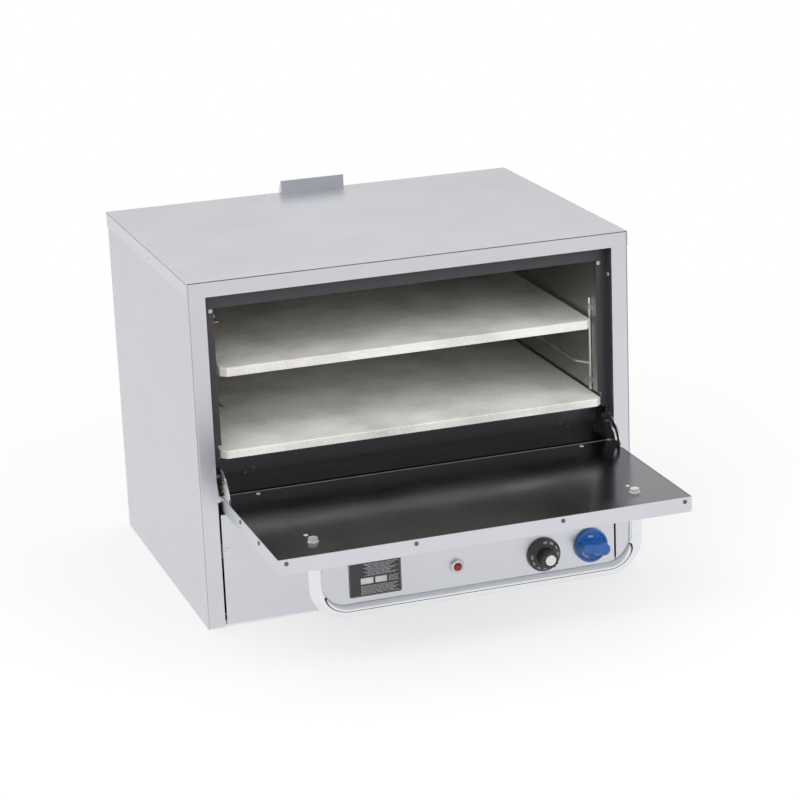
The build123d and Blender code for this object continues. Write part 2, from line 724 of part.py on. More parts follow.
def flue_deflector():
    """Upright shield round the front and sides of the flue slot."""
    half, top = DEFLECTOR_WIDTH / 2, HEIGHT + DEFLECTOR_HEIGHT
    plan = folded((-half, DEFLECTOR_BACK), (-half, DEFLECTOR_FRONT),
                  (half, DEFLECTOR_FRONT), (half, DEFLECTOR_BACK))
    above = outline(
        (DEFLECTOR_FRONT + DEFLECTOR_FLAT, top), (DEFLECTOR_BACK, top),
        (DEFLECTOR_BACK, HEIGHT + DEFLECTOR_REAR_HEIGHT),
    )
    return along_z(plan, HEIGHT, top) - along_x(above, -half, half)


# Baking chamber

def door_jamb():
    """Dark frame set back in the opening, folded forward to meet the front frame."""
    outer, top, notch = OPENING_HALF + SKIN, OPENING_TOP + SKIN, JAMB_NOTCH_HALF
    whole = flat((-outer, outer), (JAMB_BOTTOM, top))
    face = whole - flat((-CAVITY_HALF, CAVITY_HALF), (JAMB_BOTTOM, CAVITY_TOP))
    face -= flat((-JOGGLE_HALF, JOGGLE_HALF), (JAMB_BOTTOM, JOGGLE_LEVEL))
    face -= flat((-notch, notch), (JAMB_BOTTOM, JAMB_NOTCH_TOP))
    rim = whole - flat((-OPENING_HALF, OPENING_HALF), (JAMB_BOTTOM, OPENING_TOP))
    return along_y(face, JAMB_FACE, JAMB_BACK) + along_y(rim, LIP_BACK, JAMB_FACE)


def oven_liner():
    """Folded roof and side walls of the chamber, its hearth ledges and back wall."""
    left = [(-LEDGE_IN, LEDGE_TOP), (-JOGGLE_HALF, LEDGE_TOP), (-JOGGLE_HALF, JOGGLE_LEVEL),
            (-CAVITY_HALF, JOGGLE_LEVEL), (-CAVITY_HALF, CAVITY_TOP)]
    points = left + [(-x, z) for x, z in reversed(left)]
    walls = creased(*points)
    port = flat((-PORT_HALF, PORT_HALF), (FLUE_PORT_LOW, PORT_TOP))
    liner = along_y(walls, JAMB_BACK, CAVITY_BACK)
    liner += along_y(outline(*points) + walls - port, CAVITY_BACK, LINER_BACK)
    y = FRONT + CAPILLARY_GAP
    return liner - bar((-CAVITY_HALF - SKIN, y, BULB_LEVEL), (-CAVITY_HALF, y, BULB_LEVEL),
                       CAPILLARY_HOLE_RADIUS)


def hearth(half, front_gap, bottom, thick):
    """A stone slab with its front corners knocked off and its top edges eased."""
    slab = block(
        (-half, half), (FRONT + front_gap, CAVITY_BACK - HEARTH_REAR_GAP),
        (bottom, bottom + thick),
    )
    slab = chamfer(slab.edges().filter_by(Axis.Z).group_by(Axis.Y)[0], HEARTH_CORNER)
    return chamfer(slab.faces().sort_by(Axis.Z)[-1].edges(), HEARTH_EDGE)


def lower_hearth():
    """Stone that stands on the ledges and on the front baffle."""
    return hearth(
        JOGGLE_HALF - LOWER_HEARTH_SIDE_GAP, LOWER_HEARTH_FRONT_GAP, LOWER_HEARTH_BOTTOM,
        LOWER_HEARTH_THICK,
    )


def upper_hearth():
    """Stone that stands on the upper rails of the racks."""
    return hearth(
        CAVITY_HALF - UPPER_HEARTH_SIDE_GAP, UPPER_HEARTH_FRONT_GAP, UPPER_HEARTH_BOTTOM,
        UPPER_HEARTH_THICK,
    )


def rack_right():
    """Two rails welded to two posts, with the rails bent in to carry a hearth."""
    posts = [
        bar((RACK_POST_X, y, RACK_BOTTOM), (RACK_POST_X, y, RACK_TOP), POST_WIRE_RADIUS, WIRE_SIDES)
        for y in (RACK_FRONT_Y, RACK_REAR_Y)
    ]
    rails = [
        thin_line(RAIL_WIRE_RADIUS,
                  (RACK_POST_X, RACK_FRONT_Y, level),
                  (RACK_RAIL_X, RACK_FRONT_Y + RACK_RAMP, level),
                  (RACK_RAIL_X, RACK_REAR_Y - RACK_RAMP, level),
                  (RACK_POST_X, RACK_REAR_Y, level))
        for level in (RACK_SPARE_LEVEL, RACK_DECK_LEVEL)
    ]
    return posts[0].fuse(posts[1], *rails)


def rack_left():
    """The opposite hand of the right rack."""
    return mirror(rack_right(), Plane.YZ)


def rack_clips():
    """Straps that hold the rack posts on the chamber's side walls."""
    section = strap(2 * POST_WIRE_RADIUS, POST_WIRE_RADIUS)
    return both_sides(*[
        along_z(Pos(-CAVITY_HALF, y) * section, z - CLIP_WIDTH / 2, z + CLIP_WIDTH / 2)
        for y in (RACK_FRONT_Y, RACK_REAR_Y)
        for z in CLIP_LEVELS
    ])


# Burner compartment

def front_baffle():
    """Apron, sill and riser in front of the burners, with a rest for the lower hearth."""
    half = SILL_HALF
    section = creased(
        (SILL_BACK, SILL_LEVEL - APRON_DROP), (SILL_BACK, SILL_UNDER), (BOX_FRONT, SILL_UNDER),
        (BOX_FRONT, LEDGE_UNDER), (BOX_FRONT + HEARTH_REST, LEDGE_UNDER),
    )
    ledge_room = block(
        (LEDGE_IN, half), (RISER_FACE, BOX_FRONT + HEARTH_REST), (LEDGE_UNDER - FOLD, LEDGE_TOP),
    )
    return along_x(section, -half, half) - ledge_room - mirror(ledge_room, Plane.YZ)


def baffle_rivets():
    """Rivets that hold the riser to the burner box."""
    return both_sides(*[
        stand((x, RISER_FACE, z), (0, -1, 0), RegularPolygon(RIVET_RADIUS, HEAD_SIDES),
              RIVET_HEIGHT)
        for x, z in RIVETS
    ])


def combustion_box():
    """Channel under the chamber, closed in front and behind, with air windows."""
    section = creased(
        (BOX_IN, LEDGE_UNDER), (BOX_IN, BOX_FLOOR), (-BOX_IN, BOX_FLOOR), (-BOX_IN, LEDGE_UNDER)
    )
    front = flat((-BOX_IN, BOX_IN), (BOX_FLOOR, LEDGE_UNDER - FOLD))
    for x in (-BURNER_X, BURNER_X):
        front -= Pos(x, BURNER_LEVEL) * RegularPolygon(BURNER_THROAT_RADIUS, ROUND_SIDES)
    lines = Pos((PILOT_X + PROBE_X) / 2, (PILOT_LINE_LEVEL + LEAD_LEVEL) / 2)
    front -= lines * RegularPolygon(LINE_HOLE_RADIUS, ROUND_SIDES)
    rear = flat((-BOX_IN, BOX_IN), (BOX_FLOOR, LEDGE_UNDER))
    window = Rectangle(BOX_WINDOW_WIDTH, BOX_WINDOW_LENGTH)
    windows = Sketch() + [Pos(x) * window for x in (-BURNER_X, BURNER_X)]
    return (
        along_y(section, BOX_FRONT, CAVITY_BACK)
        + along_y(front, BOX_FRONT, BOX_WALL_BACK)
        + along_y(rear, CAVITY_BACK - SKIN, CAVITY_BACK)
        - along_z(windows, BOX_FLOOR - SKIN, BOX_FLOOR)
    )


def flame_baffle():
    """Shallow arch that spreads the heat under the lower hearth."""
    low = SHIELD_LEVEL - SHIELD_DROP
    section = creased(
        (-SHIELD_HALF, low), (-SHIELD_FLAT_HALF, SHIELD_LEVEL),
        (SHIELD_FLAT_HALF, SHIELD_LEVEL), (SHIELD_HALF, low), sheet=SHIELD_SHEET,
    )
    return along_y(section, BOX_WALL_BACK, CAVITY_BACK - SKIN)


def burner(x):
    """A tube burner with its venturi, slotted along the crown."""
    mouth = FRONT + BURNER_MOUTH_GAP
    throat = mouth + BURNER_CONE_LENGTH
    flare = throat + BURNER_THROAT_LENGTH
    outside = [
        (BURNER_MOUTH_RADIUS, mouth), (BURNER_THROAT_RADIUS, throat),
        (BURNER_THROAT_RADIUS, flare), (BURNER_RADIUS, flare + BURNER_FLARE_LENGTH),
    ]
    inside = [(radius - BURNER_WALL, y) for radius, y in outside]
    tube = tapered(ROUND_SIDES, *outside, (BURNER_RADIUS, BURNER_END))
    closed = (BURNER_RADIUS - BURNER_WALL, BURNER_END - BURNER_WALL)
    tube -= tapered(ROUND_SIDES, *inside, closed)
    saw = Box(2 * BURNER_RADIUS, FLAME_SLOT_WIDTH, 2 * FLAME_SLOT_DEPTH)
    for n in range(FLAME_SLOT_COUNT):
        tube -= Pos(0, FLAME_SLOT_FIRST + n * FLAME_SLOT_PITCH, BURNER_RADIUS) * saw
    return Pos(x, 0, BURNER_LEVEL) * tube


def burners():
    """The two tube burners."""
    return group(burner(-BURNER_X), burner(BURNER_X))


def burner_brackets():
    """Two saddles under the burners and the arm that carries the manifold."""
    foot = creased(
        (SADDLE_Y, BURNER_LEVEL), (SADDLE_Y, BOX_FLOOR), (SADDLE_Y + SADDLE_FOOT, BOX_FLOOR),
        sheet=SADDLE_SHEET,
    )
    saddles = [
        along_x(foot, x - SADDLE_WIDTH / 2, x + SADDLE_WIDTH / 2)
        - Pos(x, 0, BURNER_LEVEL)
        * tapered(ROUND_SIDES, (BURNER_RADIUS, SADDLE_Y), (BURNER_RADIUS, BURNER_END))
        for x in (-BURNER_X, BURNER_X)
    ]
    under = BURNER_LEVEL - PIPE_RADIUS
    arm = creased(
        (BOX_FRONT, under - ARM_WIDTH), (BOX_FRONT, under), (MANIFOLD_Y - PIPE_RADIUS, under),
        sheet=ARM_SHEET,
    )
    return group(*saddles, along_x(arm, ARM_X - ARM_WIDTH / 2, ARM_X + ARM_WIDTH / 2))


# Gas train

def pipe_between(start, end):
    """A length of half inch pipe."""
    return bar(start, end, PIPE_RADIUS) - bar(start, end, PIPE_BORE_RADIUS, HEAD_SIDES)


def gas_manifold():
    """Pipe up from the gas valve and across the burners, with its two spuds."""
    start = GAS_Z + GAS_VALVE_HEIGHT / 2 + PORT_LENGTH
    run = [(GAS_X, MANIFOLD_Y, start), (GAS_X, MANIFOLD_Y, BURNER_LEVEL),
           (MANIFOLD_END, MANIFOLD_Y, BURNER_LEVEL)]
    pipe = bent(run, RegularPolygon(PIPE_RADIUS, ROUND_SIDES), MANIFOLD_BEND)
    tip = MANIFOLD_Y + PIPE_RADIUS + SPUD_LENGTH
    for x in (-BURNER_X, BURNER_X):
        pipe += bar((x, MANIFOLD_Y, BURNER_LEVEL), (x, tip, BURNER_LEVEL), SPUD_RADIUS, HEAD_SIDES)
    return pipe


def casting(x, z, width, height):
    """The body that a valve's ports stand on, with its corners taken off."""
    body = chamfer(Rectangle(width, height).vertices(), CASTING_CORNER)
    return along_y(Pos(x, z) * body, VALVE_FRONT, VALVE_BACK)


def side_port(x, way):
    """A port boss that faces along the gas train."""
    return stand((x, VALVE_MIDDLE, TRAIN_LEVEL), (way, 0, 0), hexagon(PORT_ACROSS), PORT_LENGTH)


def stem_bore(x, z, radius, depth):
    """The bore in a valve's front for its stem."""
    return stand((x, VALVE_FRONT, z), (0, 1, 0), Circle(radius + STEM_FIT), depth)


def safety_valve():
    """Shut-off that the reset button lifts and the thermocouple holds open."""
    valve = casting(BUTTON_X, TRAIN_LEVEL, SAFETY_WIDTH, SAFETY_HEIGHT)
    valve += side_port(BUTTON_X + SAFETY_WIDTH / 2, 1)
    valve += stand((BUTTON_X, VALVE_BACK, TRAIN_LEVEL), (0, 1, 0), hexagon(PORT_ACROSS),
                   PORT_LENGTH)
    valve += stand((BUTTON_X, VALVE_MIDDLE, SAFETY_TOP), (0, 0, -1),
                   RegularPolygon(SAFETY_DOME_RADIUS, ROUND_SIDES), SAFETY_DOME_HEIGHT)
    depth = BUTTON_STEM_IN_VALVE + BUTTON_TRAVEL + STEM_END_GAP
    return valve - stem_bore(BUTTON_X, TRAIN_LEVEL, BUTTON_STEM_RADIUS, depth)


def thermostat_body():
    """Thermostat valve behind the numbered dial."""
    edge, depth = THERMOSTAT_WIDTH / 2, STEM_IN_VALVE + STEM_END_GAP
    valve = casting(THERMOSTAT_X, THERMOSTAT_Z, THERMOSTAT_WIDTH, THERMOSTAT_HEIGHT)
    valve += side_port(THERMOSTAT_X - edge, -1) + side_port(THERMOSTAT_X + edge, 1)
    return valve - stem_bore(THERMOSTAT_X, THERMOSTAT_Z, STEM_RADIUS, depth)


def gas_valve():
    """Main valve behind the gas dial, with its outlet on top."""
    top, depth = GAS_Z + GAS_VALVE_HEIGHT / 2, STEM_IN_VALVE + STEM_END_GAP
    valve = casting(GAS_X, GAS_Z, GAS_VALVE_WIDTH, GAS_VALVE_HEIGHT)
    valve += side_port(GAS_X - GAS_VALVE_WIDTH / 2, -1)
    valve += stand((GAS_X, MANIFOLD_Y, top), (0, 0, 1), hexagon(PORT_ACROSS), PORT_LENGTH)
    return valve - stem_bore(GAS_X, GAS_Z, STEM_RADIUS, depth)


def gas_nipples():
    """The two short pipes that join the valves."""
    gaps = [
        (BUTTON_X + SAFETY_WIDTH / 2, THERMOSTAT_X - THERMOSTAT_WIDTH / 2),
        (THERMOSTAT_X + THERMOSTAT_WIDTH / 2, GAS_X - GAS_VALVE_WIDTH / 2),
    ]
    return group(*[
        pipe_between((start + PORT_LENGTH, VALVE_MIDDLE, TRAIN_LEVEL),
                     (end - PORT_LENGTH, VALVE_MIDDLE, TRAIN_LEVEL))
        for start, end in gaps
    ])


def gas_inlet_pipe():
    """Supply pipe that leaves through the back panel."""
    start, wall = (BUTTON_X, VALVE_BACK + PORT_LENGTH, TRAIN_LEVEL), (BUTTON_X, BACK, TRAIN_LEVEL)
    end = (BUTTON_X, BACK + INLET_STUB, TRAIN_LEVEL)
    pipe = bar(start, wall, PIPE_RADIUS) + rod(wall, end, PIPE_RADIUS)
    return pipe - bar(start, end, PIPE_BORE_RADIUS)


def pilot_burner():
    """Hooded pilot on a shelf inside the burner box."""
    shelf = creased(
        (BOX_WALL_BACK + SHELF_REACH, SHELF_LEVEL), (BOX_WALL_BACK, SHELF_LEVEL),
        (BOX_WALL_BACK, SHELF_LEVEL - SHELF_DROP), sheet=SHELF_SHEET,
    )
    plate = along_x(shelf, PILOT_X - SHELF_WIDTH / 2, PILOT_X + SHELF_WIDTH / 2)
    plate -= bar((PROBE_X, PILOT_Y, SHELF_LEVEL - SHELF_SHEET), (PROBE_X, PILOT_Y, SHELF_LEVEL),
                 PROBE_RADIUS)
    top = SHELF_LEVEL + PILOT_HEIGHT
    body = bar((PILOT_X, PILOT_Y, SHELF_LEVEL), (PILOT_X, PILOT_Y, top), PILOT_RADIUS)
    hood = block(
        (PILOT_X, PILOT_X + PILOT_HOOD), (PILOT_Y - PILOT_RADIUS / 2, PILOT_Y + PILOT_RADIUS / 2),
        (top - 2 * SHELF_SHEET, top - SHELF_SHEET),
    )
    return plate + body + hood


def pilot_tube():
    """Gas line from the safety valve through the box wall to the pilot."""
    x, y = BUTTON_X + LINE_EXIT, FRONT + PILOT_LINE_GAP
    return thin_line(
        PILOT_LINE_RADIUS, (x, y, SAFETY_TOP), (x, y, PILOT_LINE_LEVEL),
        (PILOT_X, y, PILOT_LINE_LEVEL), (PILOT_X, PILOT_Y, PILOT_LINE_LEVEL),
        (PILOT_X, PILOT_Y, SHELF_LEVEL - SHELF_SHEET),
    )


def thermocouple():
    """Probe beside the pilot and its lead back to the safety valve."""
    x, y, foot = BUTTON_X - LINE_EXIT, FRONT + LEAD_GAP, SHELF_LEVEL - PROBE_DEPTH
    lead = thin_line(
        LEAD_RADIUS, (x, y, SAFETY_TOP), (x, y, LEAD_LEVEL), (PROBE_X, y, LEAD_LEVEL),
        (PROBE_X, PILOT_Y, LEAD_LEVEL), (PROBE_X, PILOT_Y, foot),
    )
    tip = SHELF_LEVEL + PROBE_HEIGHT
    return lead + bar((PROBE_X, PILOT_Y, foot), (PROBE_X, PILOT_Y, tip), PROBE_RADIUS)


def thermostat_bulb():
    """Bulb along the chamber's left wall and the capillary from the thermostat."""
    y, side = FRONT + CAPILLARY_GAP, -(SIDE_OUT - CAPILLARY_SIDE_GAP)
    capillary = thin_line(
        CAPILLARY_RADIUS, (THERMOSTAT_X, y, THERMOSTAT_Z + THERMOSTAT_HEIGHT / 2),
        (THERMOSTAT_X, y, CAPILLARY_LEVEL), (side, y, CAPILLARY_LEVEL),
        (side, y, BULB_LEVEL), (BULB_X, y, BULB_LEVEL), (BULB_X, BULB_START, BULB_LEVEL),
    )
    end = BULB_START + BULB_LENGTH
    return capillary + bar((BULB_X, BULB_START, BULB_LEVEL), (BULB_X, end, BULB_LEVEL),
                           BULB_RADIUS)


def bulb_clips():
    """Two straps that hold the bulb on the left wall."""
    section = Pos(-CAVITY_HALF, BULB_LEVEL) * strap(BULB_INSET + BULB_RADIUS, BULB_RADIUS)
    starts = (BULB_START + BULB_CLIP_ENDS, BULB_START + BULB_LENGTH - BULB_CLIP_ENDS - CLIP_WIDTH)
    return group(*[along_y(section, y, y + CLIP_WIDTH) for y in starts])


# Insulation

def insulation_top():
    """Blanket over the chamber's roof."""
    return block(
        (-CAVITY_HALF, CAVITY_HALF), (FRONT + BLANKET_FRONT_GAP, CAVITY_BACK),
        (LINER_TOP, LINER_TOP + BLANKET_TOP_THICK),
    )


def insulation_sides():
    """Blankets against the chamber's two sides."""
    inner = JOGGLE_HALF + SKIN
    return both_sides(block(
        (inner, inner + BLANKET_SIDE_THICK), (FRONT + BLANKET_FRONT_GAP, CAVITY_BACK),
        (BOX_FLOOR, LINER_TOP + BLANKET_TOP_THICK),
    ))


def insulation_back():
    """Blanket behind the chamber, cut out round the flue throat."""
    throat = FLUE_WIDTH / 2
    sheet = flat((-JOGGLE_HALF, JOGGLE_HALF), (BOX_FLOOR, LINER_TOP))
    sheet -= flat((-throat, throat), (FLUE_PORT_LOW - SKIN, PORT_TOP + SKIN))
    return along_y(sheet, LINER_BACK, LINER_BACK + BLANKET_BACK_THICK)


# Control panel

def control_panel():
    """Removable lower front panel with holes for the two dials and the button."""
    back = FRONT + PANEL_RETURN
    section = folded(
        (back, PANEL_TOP), (FRONT, PANEL_TOP), (FRONT, PANEL_BOTTOM), (back, PANEL_BOTTOM)
    )
    shaft = RegularPolygon(SHAFT_HOLE_RADIUS, ROUND_SIDES)
    holes = Pos(THERMOSTAT_X, THERMOSTAT_Z) * shaft
    holes += Pos(GAS_X, GAS_Z) * shaft
    holes += Pos(BUTTON_X, TRAIN_LEVEL) * RegularPolygon(BEZEL_SLEEVE_RADIUS, ROUND_SIDES)
    for x in (-PANEL_SCREW_X, PANEL_SCREW_X):
        holes += Pos(x, PANEL_SCREW_Z) * RegularPolygon(SCREW_RADIUS, HEAD_SIDES)
    sheet = along_x(section, -PANEL_HALF, PANEL_HALF)
    return sheet - along_y(holes, FRONT, FRAME_BACK)


def panel_tabs():
    """Tabs welded behind the posts, which the panel screws to."""
    tab = flat((OPENING_HALF - TAB_REACH, OPENING_HALF),
                (PANEL_SCREW_Z - TAB_WIDTH / 2, PANEL_SCREW_Z + TAB_WIDTH / 2))
    tab -= Pos(PANEL_SCREW_X, PANEL_SCREW_Z) * RegularPolygon(SCREW_RADIUS, HEAD_SIDES)
    return both_sides(along_y(tab, FRAME_BACK, FRAME_BACK + TAB_SHEET))


def panel_screws():
    """Two slotted screws at the panel's sides."""
    face = FRONT - SLOT_HEAD_HEIGHT
    middle = Pos(PANEL_SCREW_X, PANEL_SCREW_Z)
    head = along_y(middle * RegularPolygon(SLOT_HEAD_RADIUS, ROUND_SIDES), face, FRONT)
    shank = along_y(middle * RegularPolygon(SCREW_RADIUS, HEAD_SIDES), FRONT, FRAME_BACK + TAB_SHEET)
    slot = Pos(PANEL_SCREW_X, face, PANEL_SCREW_Z) * Box(
        2 * SLOT_HEAD_RADIUS, 2 * SLOT_DEPTH, SLOT_WIDTH
    )
    return both_sides(head + shank - slot)


def rating_plate():
    """Bare plate on the control panel."""
    middle = Pos(PLATE_LEFT + PLATE_WIDTH / 2, PLATE_LOW + PLATE_HEIGHT / 2)
    plate = middle * chamfer(Rectangle(PLATE_WIDTH, PLATE_HEIGHT).vertices(), PLATE_CORNER)
    return along_y(plate, FRONT - PLATE_SHEET, FRONT)


# Dials and button

def stem(x, z):
    """A valve stem from inside the dial to inside the valve."""
    return rod((x, DIAL_BACK - STEM_IN_DIAL, z), (x, VALVE_FRONT + STEM_IN_VALVE, z), STEM_RADIUS)


def fluted(radius):
    """A section with a shallow flute between each two of its ridges."""
    step = radians(180 / DIAL_FLUTE_COUNT)
    radii = (radius, radius - DIAL_FLUTE_DEPTH)
    return outline(*[
        (radii[n % 2] * cos(n * step), radii[n % 2] * sin(n * step))
        for n in range(2 * DIAL_FLUTE_COUNT)
    ])


def thermostat_knob():
    """Dial with a sloped number ring and a fluted hub."""
    rim, hub = DIAL_RIM, DIAL_HUB_DEPTH
    middle = Pos(THERMOSTAT_X, THERMOSTAT_Z)
    dial = Pos(THERMOSTAT_X, DIAL_BACK, THERMOSTAT_Z) * tapered(
        DIAL_SIDES, (DIAL_FACE_RADIUS, -DIAL_FACE_DEPTH),
        (DIAL_RADIUS - DIAL_RIM_EDGE, -rim - DIAL_RIM_EDGE), (DIAL_RADIUS, -rim), (DIAL_RADIUS, 0),
    )
    grip = along_y(middle * fluted(DIAL_HUB_RADIUS), DIAL_BACK - hub, DIAL_BACK - DIAL_FACE_DEPTH)
    seat = middle * RegularPolygon(CAP_RADIUS, HANDLE_SIDES)
    dial = dial + grip - along_y(seat, DIAL_BACK - hub, DIAL_BACK - hub + CAP_RECESS)
    return dial - stem(THERMOSTAT_X, THERMOSTAT_Z)


def thermostat_knob_cap():
    """Bright disc in the end of the dial's hub."""
    seat = DIAL_BACK - DIAL_HUB_DEPTH + CAP_RECESS
    disc = Pos(THERMOSTAT_X, THERMOSTAT_Z) * RegularPolygon(CAP_RADIUS, HANDLE_SIDES)
    cap = along_y(disc, seat - CAP_THICK, seat)
    return chamfer(cap.faces().sort_by(Axis.Y)[0].edges(), CAP_EDGE)


def thermostat_stem():
    """Stem that the numbered dial turns."""
    return stem(THERMOSTAT_X, THERMOSTAT_Z)


def gas_knob():
    """Dial with a dished face and a wedge shaped grip across it."""
    dish = GAS_RIM - GAS_DISH_DEPTH
    dial = tapered(
        DIAL_SIDES, (DIAL_RADIUS - DIAL_RIM_EDGE, -GAS_RIM), (DIAL_RADIUS, DIAL_RIM_EDGE - GAS_RIM),
        (DIAL_RADIUS, 0),
    )
    dial -= tapered(
        DIAL_SIDES, (GAS_DISH_RADIUS, -GAS_RIM), (GAS_DISH_RADIUS - GAS_DISH_DEPTH, -dish)
    )
    dial = Pos(GAS_X, DIAL_BACK, GAS_Z) * dial
    wide, narrow = GRIP_WIDE / 2, GRIP_NARROW / 2
    ends = (Pos(GRIP_LENGTH / 2 - wide, 0) * RegularPolygon(wide, DIAL_SIDES)).edges()
    ends += (Pos(narrow - GRIP_LENGTH / 2, 0) * RegularPolygon(narrow, DIAL_SIDES)).edges()
    wedge = Pos(GAS_X, GAS_Z) * Rot(0, 0, GRIP_TURN) * make_hull(ends)
    grip = along_y(wedge, DIAL_BACK - GRIP_DEPTH, DIAL_BACK - dish)
    grip = chamfer(grip.faces().sort_by(Axis.Y)[0].edges(), GRIP_EDGE)
    return dial + grip - stem(GAS_X, GAS_Z)


def gas_valve_stem():
    """Stem that the gas dial turns."""
    return stem(GAS_X, GAS_Z)


def button_bezel():
    """Six sided bezel with a sleeve through the panel."""
    middle = Pos(BUTTON_X, TRAIN_LEVEL)
    nut = middle * Rot(0, 0, BEZEL_TURN) * hexagon(BEZEL_ACROSS)
    nut = along_y(nut, FRONT - BEZEL_PROUD, FRONT)
    nut = chamfer(nut.faces().sort_by(Axis.Y)[0].edges(), BEZEL_EDGE)
    sleeve = middle * RegularPolygon(BEZEL_SLEEVE_RADIUS, ROUND_SIDES)
    nut += along_y(sleeve, FRONT, FRONT + BEZEL_SLEEVE)
    bore = middle * RegularPolygon(BEZEL_BORE_RADIUS, DIAL_SIDES)
    return nut - along_y(bore, FRONT - BEZEL_PROUD, FRONT + BEZEL_SLEEVE)


def reset_button():
    """Button with an eased edge, on the plunger that lifts the safety valve."""
    middle = Pos(BUTTON_X, TRAIN_LEVEL)
    face = FRONT - BUTTON_PROUD
    button = along_y(middle * RegularPolygon(BUTTON_RADIUS, DIAL_SIDES), face, face + BUTTON_LENGTH)
    button = chamfer(button.faces().sort_by(Axis.Y)[0].edges(), BUTTON_EDGE)
    plunger = rod((BUTTON_X, face + BUTTON_LENGTH, TRAIN_LEVEL),
                  (BUTTON_X, VALVE_FRONT + BUTTON_STEM_IN_VALVE, TRAIN_LEVEL), BUTTON_STEM_RADIUS)
    return button + plunger


# Door

def pin_notch(z):
    """The corner that the hinge pin's head turns in."""
    return block((PIN_HEAD_IN - NOTCH_CLEAR, DOOR_HALF), (DOOR_REAR - NOTCH_LENGTH, DOOR_REAR), z)


def bolt_hole(z):
    """The hole for a handle bolt."""
    return bar((HANDLE_X, HANDLE_Y, z[0]), (HANDLE_X, HANDLE_Y, z[1]), BOLT_RADIUS)


def cut_both(part, *cuts):
    """A piece less the same cuts on both sides."""
    for cut in cuts:
        part = part - cut - mirror(cut, Plane.YZ)
    return part


def door_shell():
    """Outer pan of the door, folded up on all four sides."""
    z = (DOOR_BOTTOM, DOOR_TOP)
    pan = block((-DOOR_HALF, DOOR_HALF), (DOOR_FRONT, DOOR_REAR), z)
    pan = chamfer(pan.edges().filter_by(Axis.Z), DOOR_CORNER)
    pan = chamfer(pan.faces().sort_by(Axis.Z)[0].edges(), DOOR_EDGE)
    pan = offset(pan, amount=-SKIN, openings=pan.faces().sort_by(Axis.Z)[-1])
    return cut_both(pan, pin_notch(z), bolt_hole((DOOR_BOTTOM, DOOR_FLOOR)))


def door_inner_panel():
    """Inner face of the door, a shallow lid that sits inside the shell."""
    z = (INNER_TOP - INNER_FLANGE, INNER_TOP)
    lid = block((-DOOR_IN, DOOR_IN), (DOOR_FRONT + SKIN, DOOR_REAR - SKIN), z)
    lid = chamfer(lid.edges().filter_by(Axis.Z), DOOR_CORNER)
    lid = offset(lid, amount=-SKIN, openings=lid.faces().sort_by(Axis.Z)[0])
    stay_notch = block(
        (STAY_IN - NOTCH_CLEAR, DOOR_IN), (HINGE_Y - STAY_RADIUS - NOTCH_CLEAR, DOOR_REAR), z
    )
    return cut_both(lid, pin_notch(z), stay_notch, bolt_hole((INNER_UNDER, INNER_TOP)))


def door_stiffeners():
    """Two channels between the door's sheets, which the handle bolts pull against."""
    channel = along_y(
        creased((STIFFENER_IN, DOOR_FLOOR), (STIFFENER_OUT, DOOR_FLOOR),
               (STIFFENER_OUT, INNER_UNDER), (STIFFENER_IN, INNER_UNDER), sheet=STIFFENER_SHEET),
        DOOR_FRONT + STIFFENER_END_GAP, DOOR_REAR - STIFFENER_END_GAP,
    )
    return both_sides(channel - bolt_hole((DOOR_FLOOR, INNER_UNDER)))


def door_insulation():
    """Blanket between the door's sheets, in three strips beside the channels."""
    y = (DOOR_FRONT + BLANKET_END_GAP, DOOR_REAR - BLANKET_END_GAP)
    z = (DOOR_FLOOR, INNER_UNDER)
    middle = block((-STIFFENER_IN, STIFFENER_IN), y, z)
    side = block((STIFFENER_OUT, DOOR_IN - BLANKET_EDGE_GAP), y, z)
    return group(middle, side, mirror(side, Plane.YZ))


def door_handle():
    """Bent bar under the door, with its ends tapped for the bolts."""
    top, run = DOOR_BOTTOM, DOOR_BOTTOM - HANDLE_DROP
    points = [(-HANDLE_X, HANDLE_Y, top), (-HANDLE_X, HANDLE_Y, run),
              (HANDLE_X, HANDLE_Y, run), (HANDLE_X, HANDLE_Y, top)]
    bar_section = RegularPolygon(HANDLE_RADIUS, HANDLE_SIDES)
    return cut_both(bent(points, bar_section, HANDLE_BEND), bolt_hole((top - BOLT_THREAD, top)))


def handle_bolts():
    """Bolts and washers that hold the handle through the door."""
    washer = stand((HANDLE_X, HANDLE_Y, INNER_TOP), (0, 0, 1),
                   RegularPolygon(BOLT_FLANGE_RADIUS, HANDLE_SIDES), BOLT_FLANGE_THICK)
    head_low = INNER_TOP + BOLT_FLANGE_THICK
    head = stand((HANDLE_X, HANDLE_Y, head_low), (0, 0, 1), hexagon(BOLT_HEAD_ACROSS),
                 BOLT_HEAD_HEIGHT)
    return both_sides(washer + head + bolt_hole((DOOR_BOTTOM - BOLT_THREAD, INNER_TOP)))


def door_screws():
    """Screws in the door's inner face, front edge and sides."""
    pan = RegularPolygon(PAN_HEAD_RADIUS, HEAD_SIDES)
    beside_bolt, behind_bolt = BOLT_SCREW_SET_OFF
    beside_rear, ahead_of_rear = REAR_SCREW_SET_OFF
    right = [
        stand((x, y, INNER_TOP), (0, 0, 1), pan, PAN_HEAD_HEIGHT)
        for x, y in (
            (HANDLE_X + beside_bolt, HANDLE_Y + behind_bolt),
            (HANDLE_X + beside_rear, FRONT - ahead_of_rear),
        )
    ]
    right += [
        stand((x, DOOR_FRONT, DOOR_SCREW_LEVEL), (0, -1, 0), pan, PAN_HEAD_HEIGHT)
        for x in (DOOR_HALF - LIP_SCREW_EDGE, LIP_SCREW_X)
    ]
    right += [
        stand((DOOR_HALF, FRONT - out, DOOR_SCREW_LEVEL), (1, 0, 0), pan, PAN_HEAD_HEIGHT)
        for out in DOOR_SIDE_SCREWS
    ]
    return both_sides(*right)


# Hinge and stays

